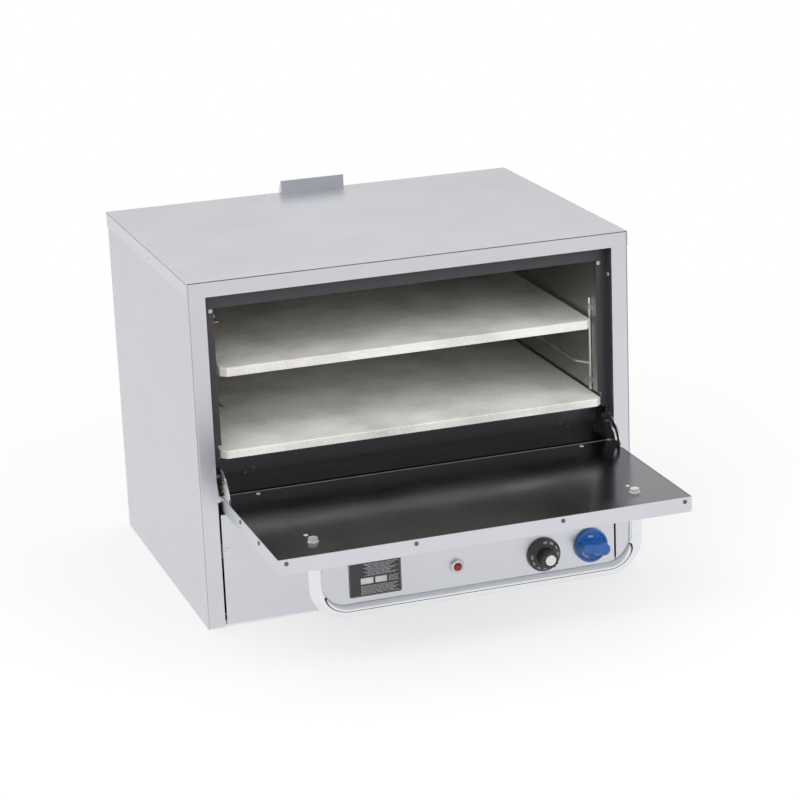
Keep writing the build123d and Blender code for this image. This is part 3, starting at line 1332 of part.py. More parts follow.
def stay_right():
    """Slotted quadrant on the door, which turns on the pin and stops on the stud."""
    pivot = Pos(HINGE_Y, HINGE_LEVEL)
    rear, sweep_angle = STAY_REAR_ANGLE, 180 - STAY_REAR_ANGLE
    arc = CenterArc((0, 0), STAY_RADIUS, rear, sweep_angle)
    plate = make_face(arc + Polyline(arc @ 1, (0, 0), arc @ 0))
    plate += flat((-STAY_RADIUS, 0), (STAY_TAIL_LOW - HINGE_LEVEL, 0))
    plate -= SlotArc(CenterArc((0, 0), STAY_SLOT_RADIUS, STUD_ANGLE, DOOR_SWING),
                     2 * (STUD_RADIUS + STUD_CLEAR))
    plate -= Circle(PIN_RADIUS + PIN_FIT)
    return along_x(pivot * plate, STAY_IN, DOOR_IN)


def stay_left():
    """The opposite hand of the right stay."""
    return mirror(stay_right(), Plane.YZ)


def hinge_brackets():
    """Plates inside the opening that carry the pins and the stop studs."""
    edges = (Pos(HINGE_Y, HINGE_LEVEL) * RegularPolygon(BRACKET_NOSE, ROUND_SIDES)).edges()
    rim = RegularPolygon(STUD_RADIUS + BRACKET_STUD_RIM, ROUND_SIDES)
    edges += (Pos(STUD_Y, STUD_Z) * rim).edges()
    for z in (BRACKET_LOW + BRACKET_EDGE, BRACKET_HIGH - BRACKET_EDGE):
        corner = Pos(JAMB_FACE - BRACKET_REAR_GAP - BRACKET_EDGE, z)
        edges += (corner * RegularPolygon(BRACKET_EDGE, HEAD_SIDES)).edges()
    at = (OPENING_HALF, HINGE_Y, HINGE_LEVEL)
    bracket = along_x(make_hull(edges), BRACKET_IN, OPENING_HALF)
    bracket += bar((DOOR_HALF + SIDE_CLEAR, HINGE_Y, HINGE_LEVEL), at, SPACER_RADIUS)
    bracket -= rod((DOOR_HALF + SIDE_CLEAR, HINGE_Y, HINGE_LEVEL), at, PIN_RADIUS)
    return both_sides(bracket)


def hinge_pins():
    """Headed pins that the door turns on."""
    shoulder = PIN_HEAD_IN + PIN_HEAD_THICK
    head = bar((PIN_HEAD_IN, HINGE_Y, HINGE_LEVEL), (shoulder, HINGE_Y, HINGE_LEVEL),
               PIN_HEAD_RADIUS)
    shank = rod((shoulder, HINGE_Y, HINGE_LEVEL), (OPENING_HALF, HINGE_Y, HINGE_LEVEL), PIN_RADIUS)
    return both_sides(head + shank)


def stop_studs():
    """Studs in the stays' slots, which stop the door level."""
    return both_sides(
        bar((STAY_IN - SIDE_CLEAR, STUD_Y, STUD_Z), (BRACKET_IN, STUD_Y, STUD_Z), STUD_RADIUS)
    )


SUB_PARTS = [
    base_pan, leg_nuts, side_panel_left, side_panel_right, top_cover, back_panel, front_frame,
    cabinet_screws, flue_box, flue_deflector, door_jamb, oven_liner, lower_hearth, upper_hearth,
    rack_left, rack_right, rack_clips, front_baffle, baffle_rivets, combustion_box,
    flame_baffle, burners, burner_brackets, gas_manifold, safety_valve, thermostat_body,
    gas_valve, gas_nipples, gas_inlet_pipe, pilot_burner, pilot_tube, thermocouple,
    thermostat_bulb, bulb_clips, insulation_top, insulation_sides, insulation_back,
    control_panel, panel_tabs, panel_screws, rating_plate, thermostat_knob,
    thermostat_knob_cap, thermostat_stem, gas_knob, gas_valve_stem, button_bezel, reset_button,
    door_shell, door_inner_panel, door_stiffeners, door_insulation, door_handle, handle_bolts,
    door_screws, stay_left, stay_right, hinge_brackets, hinge_pins, stop_studs,
]

os.makedirs("parts", exist_ok=True)
for make in SUB_PARTS:
    export_step(make(), f"parts/{make.__name__}.step")
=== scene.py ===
import bpy
import bmesh
from math import cos, pi, radians, sin, tan
from mathutils import Matrix, Vector


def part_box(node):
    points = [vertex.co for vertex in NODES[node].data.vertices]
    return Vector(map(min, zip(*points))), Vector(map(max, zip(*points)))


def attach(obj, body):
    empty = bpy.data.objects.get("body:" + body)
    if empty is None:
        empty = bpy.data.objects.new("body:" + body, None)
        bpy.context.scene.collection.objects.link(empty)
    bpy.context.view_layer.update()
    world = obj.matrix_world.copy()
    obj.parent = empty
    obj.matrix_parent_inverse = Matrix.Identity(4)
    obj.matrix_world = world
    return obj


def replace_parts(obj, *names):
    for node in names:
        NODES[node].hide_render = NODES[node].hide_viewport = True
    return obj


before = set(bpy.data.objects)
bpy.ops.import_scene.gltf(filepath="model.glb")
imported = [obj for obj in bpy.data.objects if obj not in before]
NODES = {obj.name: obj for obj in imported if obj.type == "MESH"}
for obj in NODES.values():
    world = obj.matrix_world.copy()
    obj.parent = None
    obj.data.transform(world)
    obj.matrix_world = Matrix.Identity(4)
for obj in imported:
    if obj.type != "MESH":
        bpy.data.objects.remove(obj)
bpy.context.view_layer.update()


# Camera, floor and light

CAMERA_AT = (-1.5290, -4.8499, 1.8664)
CAMERA_TURN, CAMERA_TILT, CAMERA_ROLL = -18.26, 17.09, -2.34
CAMERA_LENS = 118.55
CAMERA_SENSOR = 36.0
CAMERA_REACH = 200.0


def set_camera():
    turn, tilt, roll = radians(CAMERA_TURN), radians(CAMERA_TILT), radians(CAMERA_ROLL)
    back = Vector((sin(turn) * cos(tilt), -cos(turn) * cos(tilt), sin(tilt)))
    right = (-back).cross(Vector((0, 0, 1))).normalized()
    up = right.cross(-back)
    across = right * cos(roll) + up * sin(roll)
    upward = -right * sin(roll) + up * cos(roll)
    data = bpy.data.cameras.new("camera")
    data.lens = CAMERA_LENS
    data.sensor_width = CAMERA_SENSOR
    data.clip_end = CAMERA_REACH
    camera = bpy.data.objects.new("camera", data)
    turned = Matrix((across, upward, back)).transposed().to_4x4()
    camera.matrix_world = Matrix.Translation(CAMERA_AT) @ turned
    bpy.context.collection.objects.link(camera)
    bpy.context.scene.camera = camera


def node_tree(name):
    material = bpy.data.materials.new(name)
    material.use_nodes = True
    return material, material.node_tree.nodes, material.node_tree.links


FLOOR_HALF = 40.0
FLOOR_COLOR = (0.90, 0.90, 0.90)
FLOOR_ROUGH = 0.9
FLOOR_SPECULAR = 0.1
FLOOR_NEAR, FLOOR_FAR = 0.7, 2.2
FLOOR_NEAR_GLOW, FLOOR_FAR_GLOW = 0.60, 1.0
FLOOR_GLOSSY_GLOW = 0.85


def set_floor():
    """A pale floor that turns to plain white away from the oven."""
    mesh = bpy.data.meshes.new("floor")
    corners = [(x * FLOOR_HALF, y * FLOOR_HALF, 0) for x, y in ((-1, -1), (1, -1), (1, 1), (-1, 1))]
    mesh.from_pydata(corners, [], [(0, 1, 2, 3)])
    floor = bpy.data.objects.new("floor", mesh)
    bpy.context.collection.objects.link(floor)
    material, nodes, links = node_tree("floor")
    shader = nodes["Principled BSDF"]
    shader.inputs["Base Color"].default_value = (*FLOOR_COLOR, 1)
    shader.inputs["Roughness"].default_value = FLOOR_ROUGH
    shader.inputs["Specular IOR Level"].default_value = FLOOR_SPECULAR

    def math(operation, first, second):
        node = nodes.new("ShaderNodeMath")
        node.operation = operation
        for socket, value in zip(node.inputs, (first, second)):
            if isinstance(value, float):
                socket.default_value = value
            else:
                links.new(value, socket)
        return node.outputs[0]

    path = nodes.new("ShaderNodeLightPath").outputs
    place = nodes.new("ShaderNodeTexCoord").outputs["Object"]
    away = nodes.new("ShaderNodeVectorMath")
    away.operation = "LENGTH"
    links.new(place, away.inputs[0])
    far = nodes.new("ShaderNodeMapRange")
    far.inputs["From Min"].default_value = FLOOR_NEAR
    far.inputs["From Max"].default_value = FLOOR_FAR
    far.inputs["To Min"].default_value = FLOOR_NEAR_GLOW
    far.inputs["To Max"].default_value = FLOOR_FAR_GLOW
    links.new(away.outputs["Value"], far.inputs["Value"])
    camera = math("MULTIPLY", path["Is Camera Ray"], far.outputs["Result"])
    share = math("ADD", camera, math("MULTIPLY", path["Is Glossy Ray"], FLOOR_GLOSSY_GLOW))
    glow = nodes.new("ShaderNodeEmission")
    glow.inputs["Color"].default_value = (1, 1, 1, 1)
    strength = math("ADD", path["Is Camera Ray"], path["Is Glossy Ray"])
    links.new(strength, glow.inputs["Strength"])
    mix = nodes.new("ShaderNodeMixShader")
    links.new(share, mix.inputs[0])
    links.new(shader.outputs[0], mix.inputs[1])
    links.new(glow.outputs[0], mix.inputs[2])
    links.new(mix.outputs[0], nodes["Material Output"].inputs["Surface"])
    mesh.materials.append(material)


SKY_LOW = (0.02, (0.03, 0.03, 0.033, 1))
SKY_MIDDLE = ((0.13, 0.06), (0.21, 0.86), (0.50, 0.86))
SKY_TOP = (0.9, (0.34, 0.34, 0.34, 1))
SKY_STRENGTH = 1.15


def set_world():
    """A sky by height for light and reflections, and plain white for the camera."""
    world = bpy.data.worlds.new("studio")
    bpy.context.scene.world = world
    world.use_nodes = True
    nodes, links = world.node_tree.nodes, world.node_tree.links
    background = nodes["Background"]
    where = nodes.new("ShaderNodeTexCoord")
    split = nodes.new("ShaderNodeSeparateXYZ")
    ramp = nodes.new("ShaderNodeValToRGB")
    for element, (position, color) in zip(ramp.color_ramp.elements, (SKY_LOW, SKY_TOP)):
        element.position, element.color = position, color
    for position, level in SKY_MIDDLE:
        ramp.color_ramp.elements.new(position).color = (level, level, level, 1)
    links.new(where.outputs["Generated"], split.inputs[0])
    links.new(split.outputs["Z"], ramp.inputs[0])
    path = nodes.new("ShaderNodeLightPath")
    seen = nodes.new("ShaderNodeMath")
    seen.operation = "MAXIMUM"
    links.new(path.outputs["Is Camera Ray"], seen.inputs[0])
    links.new(path.outputs["Is Transmission Ray"], seen.inputs[1])
    white = nodes.new("ShaderNodeMix")
    white.data_type = "RGBA"
    white.inputs[7].default_value = (1, 1, 1, 1)
    links.new(seen.outputs[0], white.inputs[0])
    links.new(ramp.outputs[0], white.inputs[6])
    links.new(white.outputs[2], background.inputs["Color"])
    background.inputs["Strength"].default_value = SKY_STRENGTH


LAMPS = (
    ("key", (-2.8, -2.9, 3.6), (0, 0, 0.3), (5.0, 4.4), 130, False),
    ("fill", (3.0, -3.6, 2.3), (0, 0, 0.3), (4.0, 3.4), 72, False),
    ("top", (0.2, 1.2, 4.0), (0, 0, 0.5), (5.0, 3.6), 46, True),
)


def add_lamp(name, place, target, size, power, reflects):
    """An area lamp. One that doesn't reflect stays out of the steel."""
    data = bpy.data.lights.new(name, "AREA")
    data.shape = "RECTANGLE"
    data.size, data.size_y = size
    data.energy = power
    lamp = bpy.data.objects.new(name, data)
    lamp.location = place
    lamp.rotation_euler = (Vector(target) - Vector(place)).to_track_quat("-Z", "Y").to_euler()
    lamp.visible_glossy = reflects
    bpy.context.collection.objects.link(lamp)


# Materials

class Shader:
    """A principled material with its nodes at hand."""

    def __init__(self, name, color, rough, metallic=0.0):
        self.material, self.nodes, self.links = node_tree(name)
        self.shader = self.nodes["Principled BSDF"]
        self.shader.inputs["Base Color"].default_value = (*color, 1)
        self.shader.inputs["Roughness"].default_value = rough
        self.shader.inputs["Metallic"].default_value = metallic
        self.place = self.nodes.new("ShaderNodeTexCoord").outputs["Object"]

    def set(self, **values):
        for name, value in values.items():
            self.shader.inputs[name.replace("_", " ")].default_value = value
        return self

    def noise(self, scale, detail=3.0, stretch=(1, 1, 1), rough=0.5):
        mapping = self.nodes.new("ShaderNodeMapping")
        mapping.inputs["Scale"].default_value = stretch
        noise = self.nodes.new("ShaderNodeTexNoise")
        noise.inputs["Scale"].default_value = scale
        noise.inputs["Detail"].default_value = detail
        noise.inputs["Roughness"].default_value = rough
        self.links.new(self.place, mapping.inputs[0])
        self.links.new(mapping.outputs[0], noise.inputs["Vector"])
        return noise.outputs["Fac"]

    def span(self, value, low, high, start=0.3, end=0.7):
        ranged = self.nodes.new("ShaderNodeMapRange")
        ranged.inputs["From Min"].default_value = start
        ranged.inputs["From Max"].default_value = end
        ranged.inputs["To Min"].default_value = low
        ranged.inputs["To Max"].default_value = high
        self.links.new(value, ranged.inputs["Value"])
        return ranged.outputs["Result"]

    def add(self, first, second):
        total = self.nodes.new("ShaderNodeMath")
        self.links.new(first, total.inputs[0])
        self.links.new(second, total.inputs[1])
        return total.outputs[0]

    def colors(self, value, *stops):
        ramp = self.nodes.new("ShaderNodeValToRGB")
        ramp.color_ramp.elements[0].position = stops[0][0]
        ramp.color_ramp.elements[0].color = (*stops[0][1], 1)
        ramp.color_ramp.elements[1].position = stops[-1][0]
        ramp.color_ramp.elements[1].color = (*stops[-1][1], 1)
        for position, color in stops[1:-1]:
            ramp.color_ramp.elements.new(position).color = (*color, 1)
        self.links.new(value, ramp.inputs[0])
        self.links.new(ramp.outputs[0], self.shader.inputs["Base Color"])
        return self

    def roughness(self, value):
        self.links.new(value, self.shader.inputs["Roughness"])
        return self

    def bump(self, height, strength, distance):
        bump = self.nodes.new("ShaderNodeBump")
        bump.inputs["Strength"].default_value = strength
        bump.inputs["Distance"].default_value = distance
        self.links.new(height, bump.inputs["Height"])
        self.links.new(bump.outputs[0], self.shader.inputs["Normal"])
        return self


def shade(color, factor):
    return tuple(min(1.0, channel * factor) for channel in color)


def brushed(name, color, rough, grain, smudge=0.05, strength=0.10):
    """Sheet metal rolled or brushed one way, with faint handling marks."""
    steel = Shader(name, color, rough, 1.0)
    lines = steel.noise(1.0, 4.0, grain, 0.7)
    marks = steel.noise(7.0, 3.0)
    steel.colors(marks, (0.30, shade(color, 0.965)), (0.52, color), (0.75, shade(color, 1.03)))
    steel.roughness(steel.add(steel.span(lines, rough - 0.05, rough + 0.05),
                              steel.span(marks, -smudge, smudge)))
    return steel.bump(lines, strength, 0.0002).material


def plated(name, color, rough):
    """Bright plate or polish with a little haze."""
    metal = Shader(name, color, rough, 1.0)
    haze = metal.noise(35.0, 3.0)
    metal.colors(haze, (0.3, shade(color, 0.95)), (0.7, color))
    return metal.roughness(metal.span(haze, rough * 0.7, rough * 1.5)).material


def cast(name, color, rough, metallic=1.0):
    """Cast or mill surface with a fine grain."""
    metal = Shader(name, color, rough, metallic)
    grain = metal.noise(700.0, 3.0)
    cloud = metal.noise(25.0, 2.0)
    metal.colors(cloud, (0.3, shade(color, 0.85)), (0.7, shade(color, 1.1)))
    metal.roughness(metal.span(cloud, rough - 0.08, rough + 0.08))
    return metal.bump(grain, 0.35, 0.0004).material


def plastic(name, color, rough):
    """Moulded plastic with a very fine texture."""
    skin = Shader(name, color, rough)
    fine = skin.noise(900.0, 2.0)
    worn = skin.noise(60.0, 3.0)
    skin.colors(worn, (0.35, shade(color, 0.9)), (0.65, shade(color, 1.12)))
    skin.roughness(skin.span(worn, rough - 0.06, rough + 0.08))
    return skin.bump(fine, 0.12, 0.0002).set(Coat_Weight=0.25, Coat_Roughness=0.2).material


def stone():
    """Refractory board with a fine sandy grain, pale and a little blotchy."""
    board = Shader("hearth_stone", (0.80, 0.79, 0.76), 0.92)
    sand = board.noise(420.0, 5.0, rough=0.7)
    cloud = board.noise(9.0, 4.0)
    both = board.add(board.span(sand, -0.22, 0.22), cloud)
    board.colors(both, (0.25, (0.60, 0.585, 0.55)), (0.48, (0.78, 0.77, 0.735)),
                 (0.62, (0.86, 0.85, 0.82)), (0.80, (0.90, 0.895, 0.875)))
    return board.bump(sand, 0.5, 0.0008).set(Specular_IOR_Level=0.2).material


def blanket():
    """Mineral fibre blanket."""
    wool = Shader("insulation_blanket", (0.78, 0.74, 0.62), 1.0)
    fibre = wool.noise(260.0, 6.0, (1, 1, 3), 0.8)
    wool.colors(fibre, (0.3, (0.55, 0.50, 0.38)), (0.7, (0.86, 0.82, 0.70)))
    return wool.bump(fibre, 0.9, 0.003).set(Sheen_Weight=0.3).material


ALONG_X = (3, 900, 900)
ALONG_Y = (900, 3, 900)
STEEL = (0.672, 0.680, 0.718)
# The side panels' steel is the front steel darkened to 95 %: painted shade on the sides. Its grain
# runs along Y.
SHADED_SIDE_STEEL = (0.638, 0.645, 0.682)

MATERIALS = {
    "outer_x": brushed("stainless", STEEL, 0.34, ALONG_X, 0.014, 0.08),
    "outer_y": brushed("stainless_sides_painted_shade", SHADED_SIDE_STEEL, 0.36, ALONG_Y, 0.014, 0.08),
    # The door's inner panel is stainless with a near-black base colour: painted reflection of the
    # dark oven cavity.
    "painted_reflection_steel": brushed("polished_stainless", (0.175, 0.178, 0.187), 0.19, ALONG_X, 0.05, 0.04),
    # The front baffle is steel coloured near black: painted shade beneath the lower hearth.
    "baffle": brushed("baffle_painted_shade", (0.110, 0.112, 0.118), 0.27, ALONG_X, 0.05, 0.05),
    "stay": brushed("stay_steel", (0.74, 0.74, 0.74), 0.20, ALONG_Y),
    "fastener": cast("fastener_steel", (0.80, 0.80, 0.79), 0.30, 0.6),
    "dark_head": cast("dark_screw", (0.16, 0.16, 0.165), 0.35, 0.8),
    "galvanised": cast("galvanised_steel", (0.56, 0.58, 0.59), 0.42),
    "liner": brushed("aluminised_steel", (0.56, 0.555, 0.54), 0.40, ALONG_Y, 0.08, 0.08),
    "tinted": cast("heat_tinted_steel", (0.34, 0.32, 0.30), 0.50),
    "jamb": cast("dark_jamb", (0.045, 0.045, 0.05), 0.40, 0.0),
    "stone": stone(),
    "wire": plated("bright_wire", (0.72, 0.72, 0.72), 0.18),
    "handle": plated("handle_chrome", (0.78, 0.79, 0.81), 0.05),
    "iron": cast("black_iron_pipe", (0.07, 0.07, 0.07), 0.55, 0.6),
    "casting": cast("cast_aluminium", (0.60, 0.61, 0.62), 0.45),
    "brass": cast("pilot_brass", (0.70, 0.53, 0.25), 0.35),
    "tube": plated("tube_aluminium", (0.72, 0.73, 0.74), 0.30),
    "copper": plated("copper_line", (0.70, 0.38, 0.24), 0.33),
    "blanket": blanket(),
    "plate": plastic("plate_black", (0.035, 0.035, 0.037), 0.42),
    "black": plastic("dial_black", (0.022, 0.022, 0.023), 0.36),
    "disc": plated("dial_disc", (0.76, 0.76, 0.76), 0.22),
    "blue": plastic("dial_blue", (0.012, 0.120, 0.42), 0.24),
    "stem": plated("stem_steel", (0.55, 0.55, 0.54), 0.30),
    "bezel": plated("bezel_chrome", (0.62, 0.62, 0.62), 0.20),
    "red": plastic("button_red", (0.42, 0.010, 0.012), 0.16),
    "white": plastic("dial_marks", (0.82, 0.82, 0.80), 0.5),
    "rule": plastic("plate_rules", (0.50, 0.50, 0.51), 0.5),
    # Near-black colour for the screws' cross recesses: painted shade in the hollows.
    "recess": plastic("recess_painted_shade", (0.03, 0.03, 0.03), 0.6),
}

FINISH = {
    "outer_x": ["top_cover", "back_panel", "front_frame", "control_panel", "door_shell",
                "flue_deflector"],
    "outer_y": ["side_panel_left", "side_panel_right"],
    "painted_reflection_steel": ["door_inner_panel"],
    "stay": ["stay_left", "stay_right", "hinge_brackets"],
    "fastener": ["cabinet_screws", "door_screws", "panel_screws", "handle_bolts", "hinge_pins"],
    "dark_head": ["stop_studs", "baffle_rivets"],
    "galvanised": ["base_pan", "leg_nuts", "flue_box", "door_stiffeners",
                   "rack_clips", "bulb_clips"],
    "liner": ["oven_liner", "combustion_box"],
    "baffle": ["front_baffle"],
    "tinted": ["flame_baffle", "burner_brackets", "burners"],
    "jamb": ["door_jamb", "panel_tabs"],
    "stone": ["lower_hearth", "upper_hearth"],
    "wire": ["rack_left", "rack_right"],
    "handle": ["door_handle"],
    "iron": ["gas_manifold", "gas_nipples", "gas_inlet_pipe"],
    "casting": ["safety_valve", "thermostat_body", "gas_valve"],
    "brass": ["pilot_burner"],
    "tube": ["pilot_tube"],
    "copper": ["thermocouple", "thermostat_bulb"],
    "blanket": ["insulation_top", "insulation_sides", "insulation_back", "door_insulation"],
    "plate": ["rating_plate"],
    "black": ["thermostat_knob"],
    "disc": ["thermostat_knob_cap"],
    "blue": ["gas_knob"],
    "stem": ["thermostat_stem", "gas_valve_stem"],
    "bezel": ["button_bezel"],
    "red": ["reset_button"],
}

for finish, names in FINISH.items():
    for name in names:
        for place in NODES[name].material_slots:
            place.material = MATERIALS[finish]


# Pieces

SHARP_ANGLE = 42


def piece(name, mesh, finishes, body, smooth=True):
    made = bpy.data.objects.new(name, mesh)
    bpy.context.collection.objects.link(made)
    for finish in finishes:
        mesh.materials.append(MATERIALS[finish])
    for face in mesh.polygons:
        face.use_smooth = smooth
    if smooth:
        mesh.set_sharp_from_angle(angle=radians(SHARP_ANGLE))
    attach(made, body)
    return made


def outward(at, out):
    """A frame at a point with its Z along the direction out."""
    turn = Vector(out).to_track_quat("Z", "Y").to_matrix().to_4x4()
    return Matrix.Translation(at) @ turn


def lathe(bm, profile, place, steps=32, finish=0):
    """Turns a profile of (radius, height) about Z at a place."""
    rings = []
    for radius, height in profile:
        if radius < 1e-7:
            rings.append([bm.verts.new(place @ Vector((0, 0, height)))])
            continue
        rings.append([
            bm.verts.new(place @ Vector((radius * cos(2 * pi * n / steps),
                                         radius * sin(2 * pi * n / steps), height)))
            for n in range(steps)
        ])
    for low, high in zip(rings, rings[1:]):
        for n in range(steps):
            m = (n + 1) % steps
            corners = [low[n % len(low)], low[m % len(low)], high[m % len(high)],
                       high[n % len(high)]]
            face = bm.faces.new(list(dict.fromkeys(corners)))
            face.material_index = finish


def slab(bm, place, size, height, finish):
    """A thin box on the face of a place."""
    x, y = size[0] / 2, size[1] / 2
    low = [bm.verts.new(place @ Vector((i, j, 0))) for i, j in ((-x, -y), (x, -y), (x, y), (-x, y))]
    top = [bm.verts.new(place @ Vector((i, j, height)))
           for i, j in ((-x, -y), (x, -y), (x, y), (-x, y))]
    bm.faces.new(top).material_index = finish
    for n in range(4):
        m = (n + 1) % 4
        bm.faces.new([low[n], low[m], top[m], top[n]]).material_index = finish


WASHER = [(0.0055, 0), (0.0055, 0.0008), (0.0046, 0.0008)]
HEXAGON = [(0.0046, 0.0008), (0.0046, 0.0030), (0.0039, 0.0035), (0, 0.0035)]
PAN = [(0.0042, 0), (0.0042, 0.0005), (0.0039, 0.0011), (0.0031, 0.0015), (0.0018, 0.00175),
       (0, 0.0018)]
RECESS_LEVEL = 0.00158
RECESS_LONG, RECESS_WIDE, RECESS_HIGH = 0.0042, 0.0009, 0.0002


def pan_heads(name, spots, body, node, hexagons=(), finish="fastener"):
    """Domed screw heads with a cross recess drawn as a near-black cross of painted shade, and
    hexagon heads, at (point, direction out).
    """
    bm = bmesh.new()
    for at, out in hexagons:
        lathe(bm, WASHER, outward(at, out), 32)
        lathe(bm, HEXAGON, outward(at, out), 6)
    for at, out in spots:
        place = outward(at, out)
        lathe(bm, PAN, place, 24)
        top = place @ Matrix.Translation((0, 0, RECESS_LEVEL))
        # Two thin near-black slabs just under the dome top: painted shade of the cross recess.
        slab(bm, top, (RECESS_LONG, RECESS_WIDE), RECESS_HIGH, 1)
        slab(bm, top, (RECESS_WIDE, RECESS_LONG), RECESS_HIGH, 1)
    mesh = bpy.data.meshes.new(name)
    bm.to_mesh(mesh)
    bm.free()
    made = piece(name, mesh, [finish, "recess"], body)
    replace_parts(made, node)


def mirrored(spots):
    return spots + [((-x, y, z), (-i, j, k)) for (x, y, z), (i, j, k) in spots]


pan_heads("door_screw_heads", mirrored([
    ((0.312, -0.594, 0.2617), (0, 0, 1)),
    ((0.327, -0.339, 0.2617), (0, 0, 1)),
]), "door", "door_screws")

pan_heads("door_edge_screw_heads", mirrored([
    ((0.380, -0.700, 0.254), (0, -1, 0)),
    ((0.140, -0.700, 0.254), (0, -1, 0)),
    ((0.395, -0.578, 0.254), (1, 0, 0)),
    ((0.395, -0.456, 0.254), (1, 0, 0)),
]), "door", "door_screws", finish="dark_head")

pan_heads("cabinet_screw_heads", mirrored([
    ((0.4362, -0.020, 0.656), (1, 0, 0)),
    ((0.4362, 0.235, 0.656), (1, 0, 0)),
    ((0.3995, -0.303, 0.272), (-1, 0, 0)),
    ((0.3995, -0.314, 0.2675), (-1, 0, 0)),
    ((0.0915, 0.3185, 0.677), (0, 0, 1)),
    ((0.402, -0.307, 0.5905), (-1, 0, 0)),
    ((0.387, -0.296, 0.612), (0, -1, 0)),
]), "cabinet", "cabinet_screws", mirrored([
    ((0.425, 0.325, 0.040 + 0.200 * n), (0, 1, 0)) for n in range(4)
]))


def bar(name, runs, radius, finish, body, node):
    """Round bars along runs of points, in place of a CAD node."""
    curve = bpy.data.curves.new(name, "CURVE")
    curve.dimensions = "3D"
    curve.bevel_depth = radius
    curve.bevel_resolution = 6
    curve.use_fill_caps = True
    for run in runs:
        spline = curve.splines.new("POLY")
        spline.points.add(len(run) - 1)
        for point, at in zip(spline.points, run):
            point.co = (*at, 1)
    curve.materials.append(MATERIALS[finish])
    made = bpy.data.objects.new(name, curve)
    bpy.context.collection.objects.link(made)
    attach(made, body)
    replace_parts(made, node)


def rounded(points, bend, steps=12):
    """Points of a path whose corners are rounded to one radius."""
    points = [Vector(point) for point in points]
    path = [points[0]]
    for before, corner, after in zip(points, points[1:], points[2:]):
        back, ahead = (before - corner).normalized(), (after - corner).normalized()
        half = back.angle(ahead) / 2
        centre = corner + (back + ahead).normalized() * bend / sin(half)
        start = (corner + back * bend / tan(half) - centre).normalized()
        end = (corner + ahead * bend / tan(half) - centre).normalized()
        path += [centre + start.slerp(end, n / steps) * bend for n in range(steps + 1)]
    return path + [points[-1]]


HANDLE_RADIUS = 0.0127
HANDLE_BEND = 0.058
WIRE_RADIUS = 0.0029
POST_INSET, RAIL_INSET = 0.003, 0.00275
RACK_FRONT, RACK_BACK = -0.268, 0.210
RAIL_LEVELS = (0.406, 0.4796)
RAIL_SLANT = 0.027
RAIL_BEND = 0.014


def bars():
    """The door handle and the wire racks, drawn round."""
    low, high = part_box("door_handle")
    radius = HANDLE_RADIUS
    y, run = (low[1] + high[1]) / 2, low[2] + radius
    left, right = low[0] + radius, high[0] - radius
    bar("door_handle_tube", [rounded(
        [(left, y, high[2]), (left, y, run), (right, y, run), (right, y, high[2])], HANDLE_BEND, 24,
    )], radius, "handle", "door", "door_handle")
    for side, node in ((-1, "rack_left"), (1, "rack_right")):
        low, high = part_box(node)
        wall = side * (max(abs(low[0]), abs(high[0])) - POST_INSET)
        inner = side * (min(abs(low[0]), abs(high[0])) + RAIL_INSET)
        posts = [[(wall, y, low[2]), (wall, y, high[2])] for y in (RACK_FRONT, RACK_BACK)]
        rails = [
            rounded([(wall, RACK_FRONT, z), (inner, RACK_FRONT + RAIL_SLANT, z),
                     (inner, RACK_BACK - RAIL_SLANT, z), (wall, RACK_BACK, z)], RAIL_BEND)
            for z in RAIL_LEVELS
        ]
        bar(f"{node}_wires", posts + rails, WIRE_RADIUS, "wire", "cabinet", node)


bars()


# Dials and button

FACING = Matrix(((1, 0, 0), (0, 0, -1), (0, 1, 0))).to_4x4()


def seat(node):
    """A frame on the panel side of a dial, with its Z out of the panel."""
    low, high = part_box(node)
    return Matrix.Translation(((low[0] + high[0]) / 2, high[1], (low[2] + high[2]) / 2)) @ FACING


def stack(bm, place, levels, finish=0):
    """A skin over outlines of equal count, each at its own height, with the last one closed."""
    rings = [
        [bm.verts.new(place @ Vector((x, y, height))) for x, y in points]
        for points, height in levels
    ]
    for low, high in zip(rings, rings[1:]):
        for n in range(len(low)):
            m = (n + 1) % len(low)
            bm.faces.new([low[n], low[m], high[m], high[n]]).material_index = finish
    bm.faces.new(rings[-1]).material_index = finish


def finished(name, bm, finishes, body, node):
    mesh = bpy.data.meshes.new(name)
    bm.to_mesh(mesh)
    bm.free()
    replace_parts(piece(name, mesh, finishes, body), node)


NUMBER_RING = [(0.0334, 0), (0.034, 0.0006), (0.034, 0.0048), (0.0338, 0.0055), (0.0328, 0.0061),
               (0.0212, 0.0129), (0.0204, 0.0131), (0.0150, 0.0131)]
HUB_LEVELS = [(0.0180, 0.0019, 0.0128), (0.0180, 0.0019, 0.0368), (0.0178, 0.0018, 0.0379),
              (0.0171, 0.0014, 0.0387), (0.0160, 0.0008, 0.0390), (0.0112, 0, 0.0390),
              (0.0110, 0, 0.0388), (0.0110, 0, 0.0376)]
HUB_STEPS, HUB_FLUTES = 192, 12
CAP_LEVEL = 0.0375
CAP = [(0.0108, 0), (0.0108, 0.0017), (0.0104, 0.0021), (0.0096, 0.0023), (0, 0.00235)]


def thermostat_dial():
    """Sloped number ring and a fluted hub with a hollow for its cap."""
    bm = bmesh.new()
    place = seat("thermostat_knob")
    lathe(bm, NUMBER_RING, place, 96)

    def hub(radius, depth):
        points = []
        for n in range(HUB_STEPS):
            angle = 2 * pi * n / HUB_STEPS
            reach = radius - depth * (0.5 - 0.5 * cos(HUB_FLUTES * 2 * pi * n / HUB_STEPS))
            points.append((reach * cos(angle), reach * sin(angle)))
        return points

    stack(bm, place, [(hub(radius, depth), height) for radius, depth, height in HUB_LEVELS])
    finished("thermostat_dial_moulding", bm, ["black"], "thermostat_dial",
             "thermostat_knob")


def thermostat_cap():
    """Bright disc in the hollow of the hub."""
    bm = bmesh.new()
    place = seat("thermostat_knob") @ Matrix.Translation((0, 0, CAP_LEVEL))
    lathe(bm, CAP, place, 64)
    finished("thermostat_cap_disc", bm, ["disc"], "thermostat_dial",
             "thermostat_knob_cap")


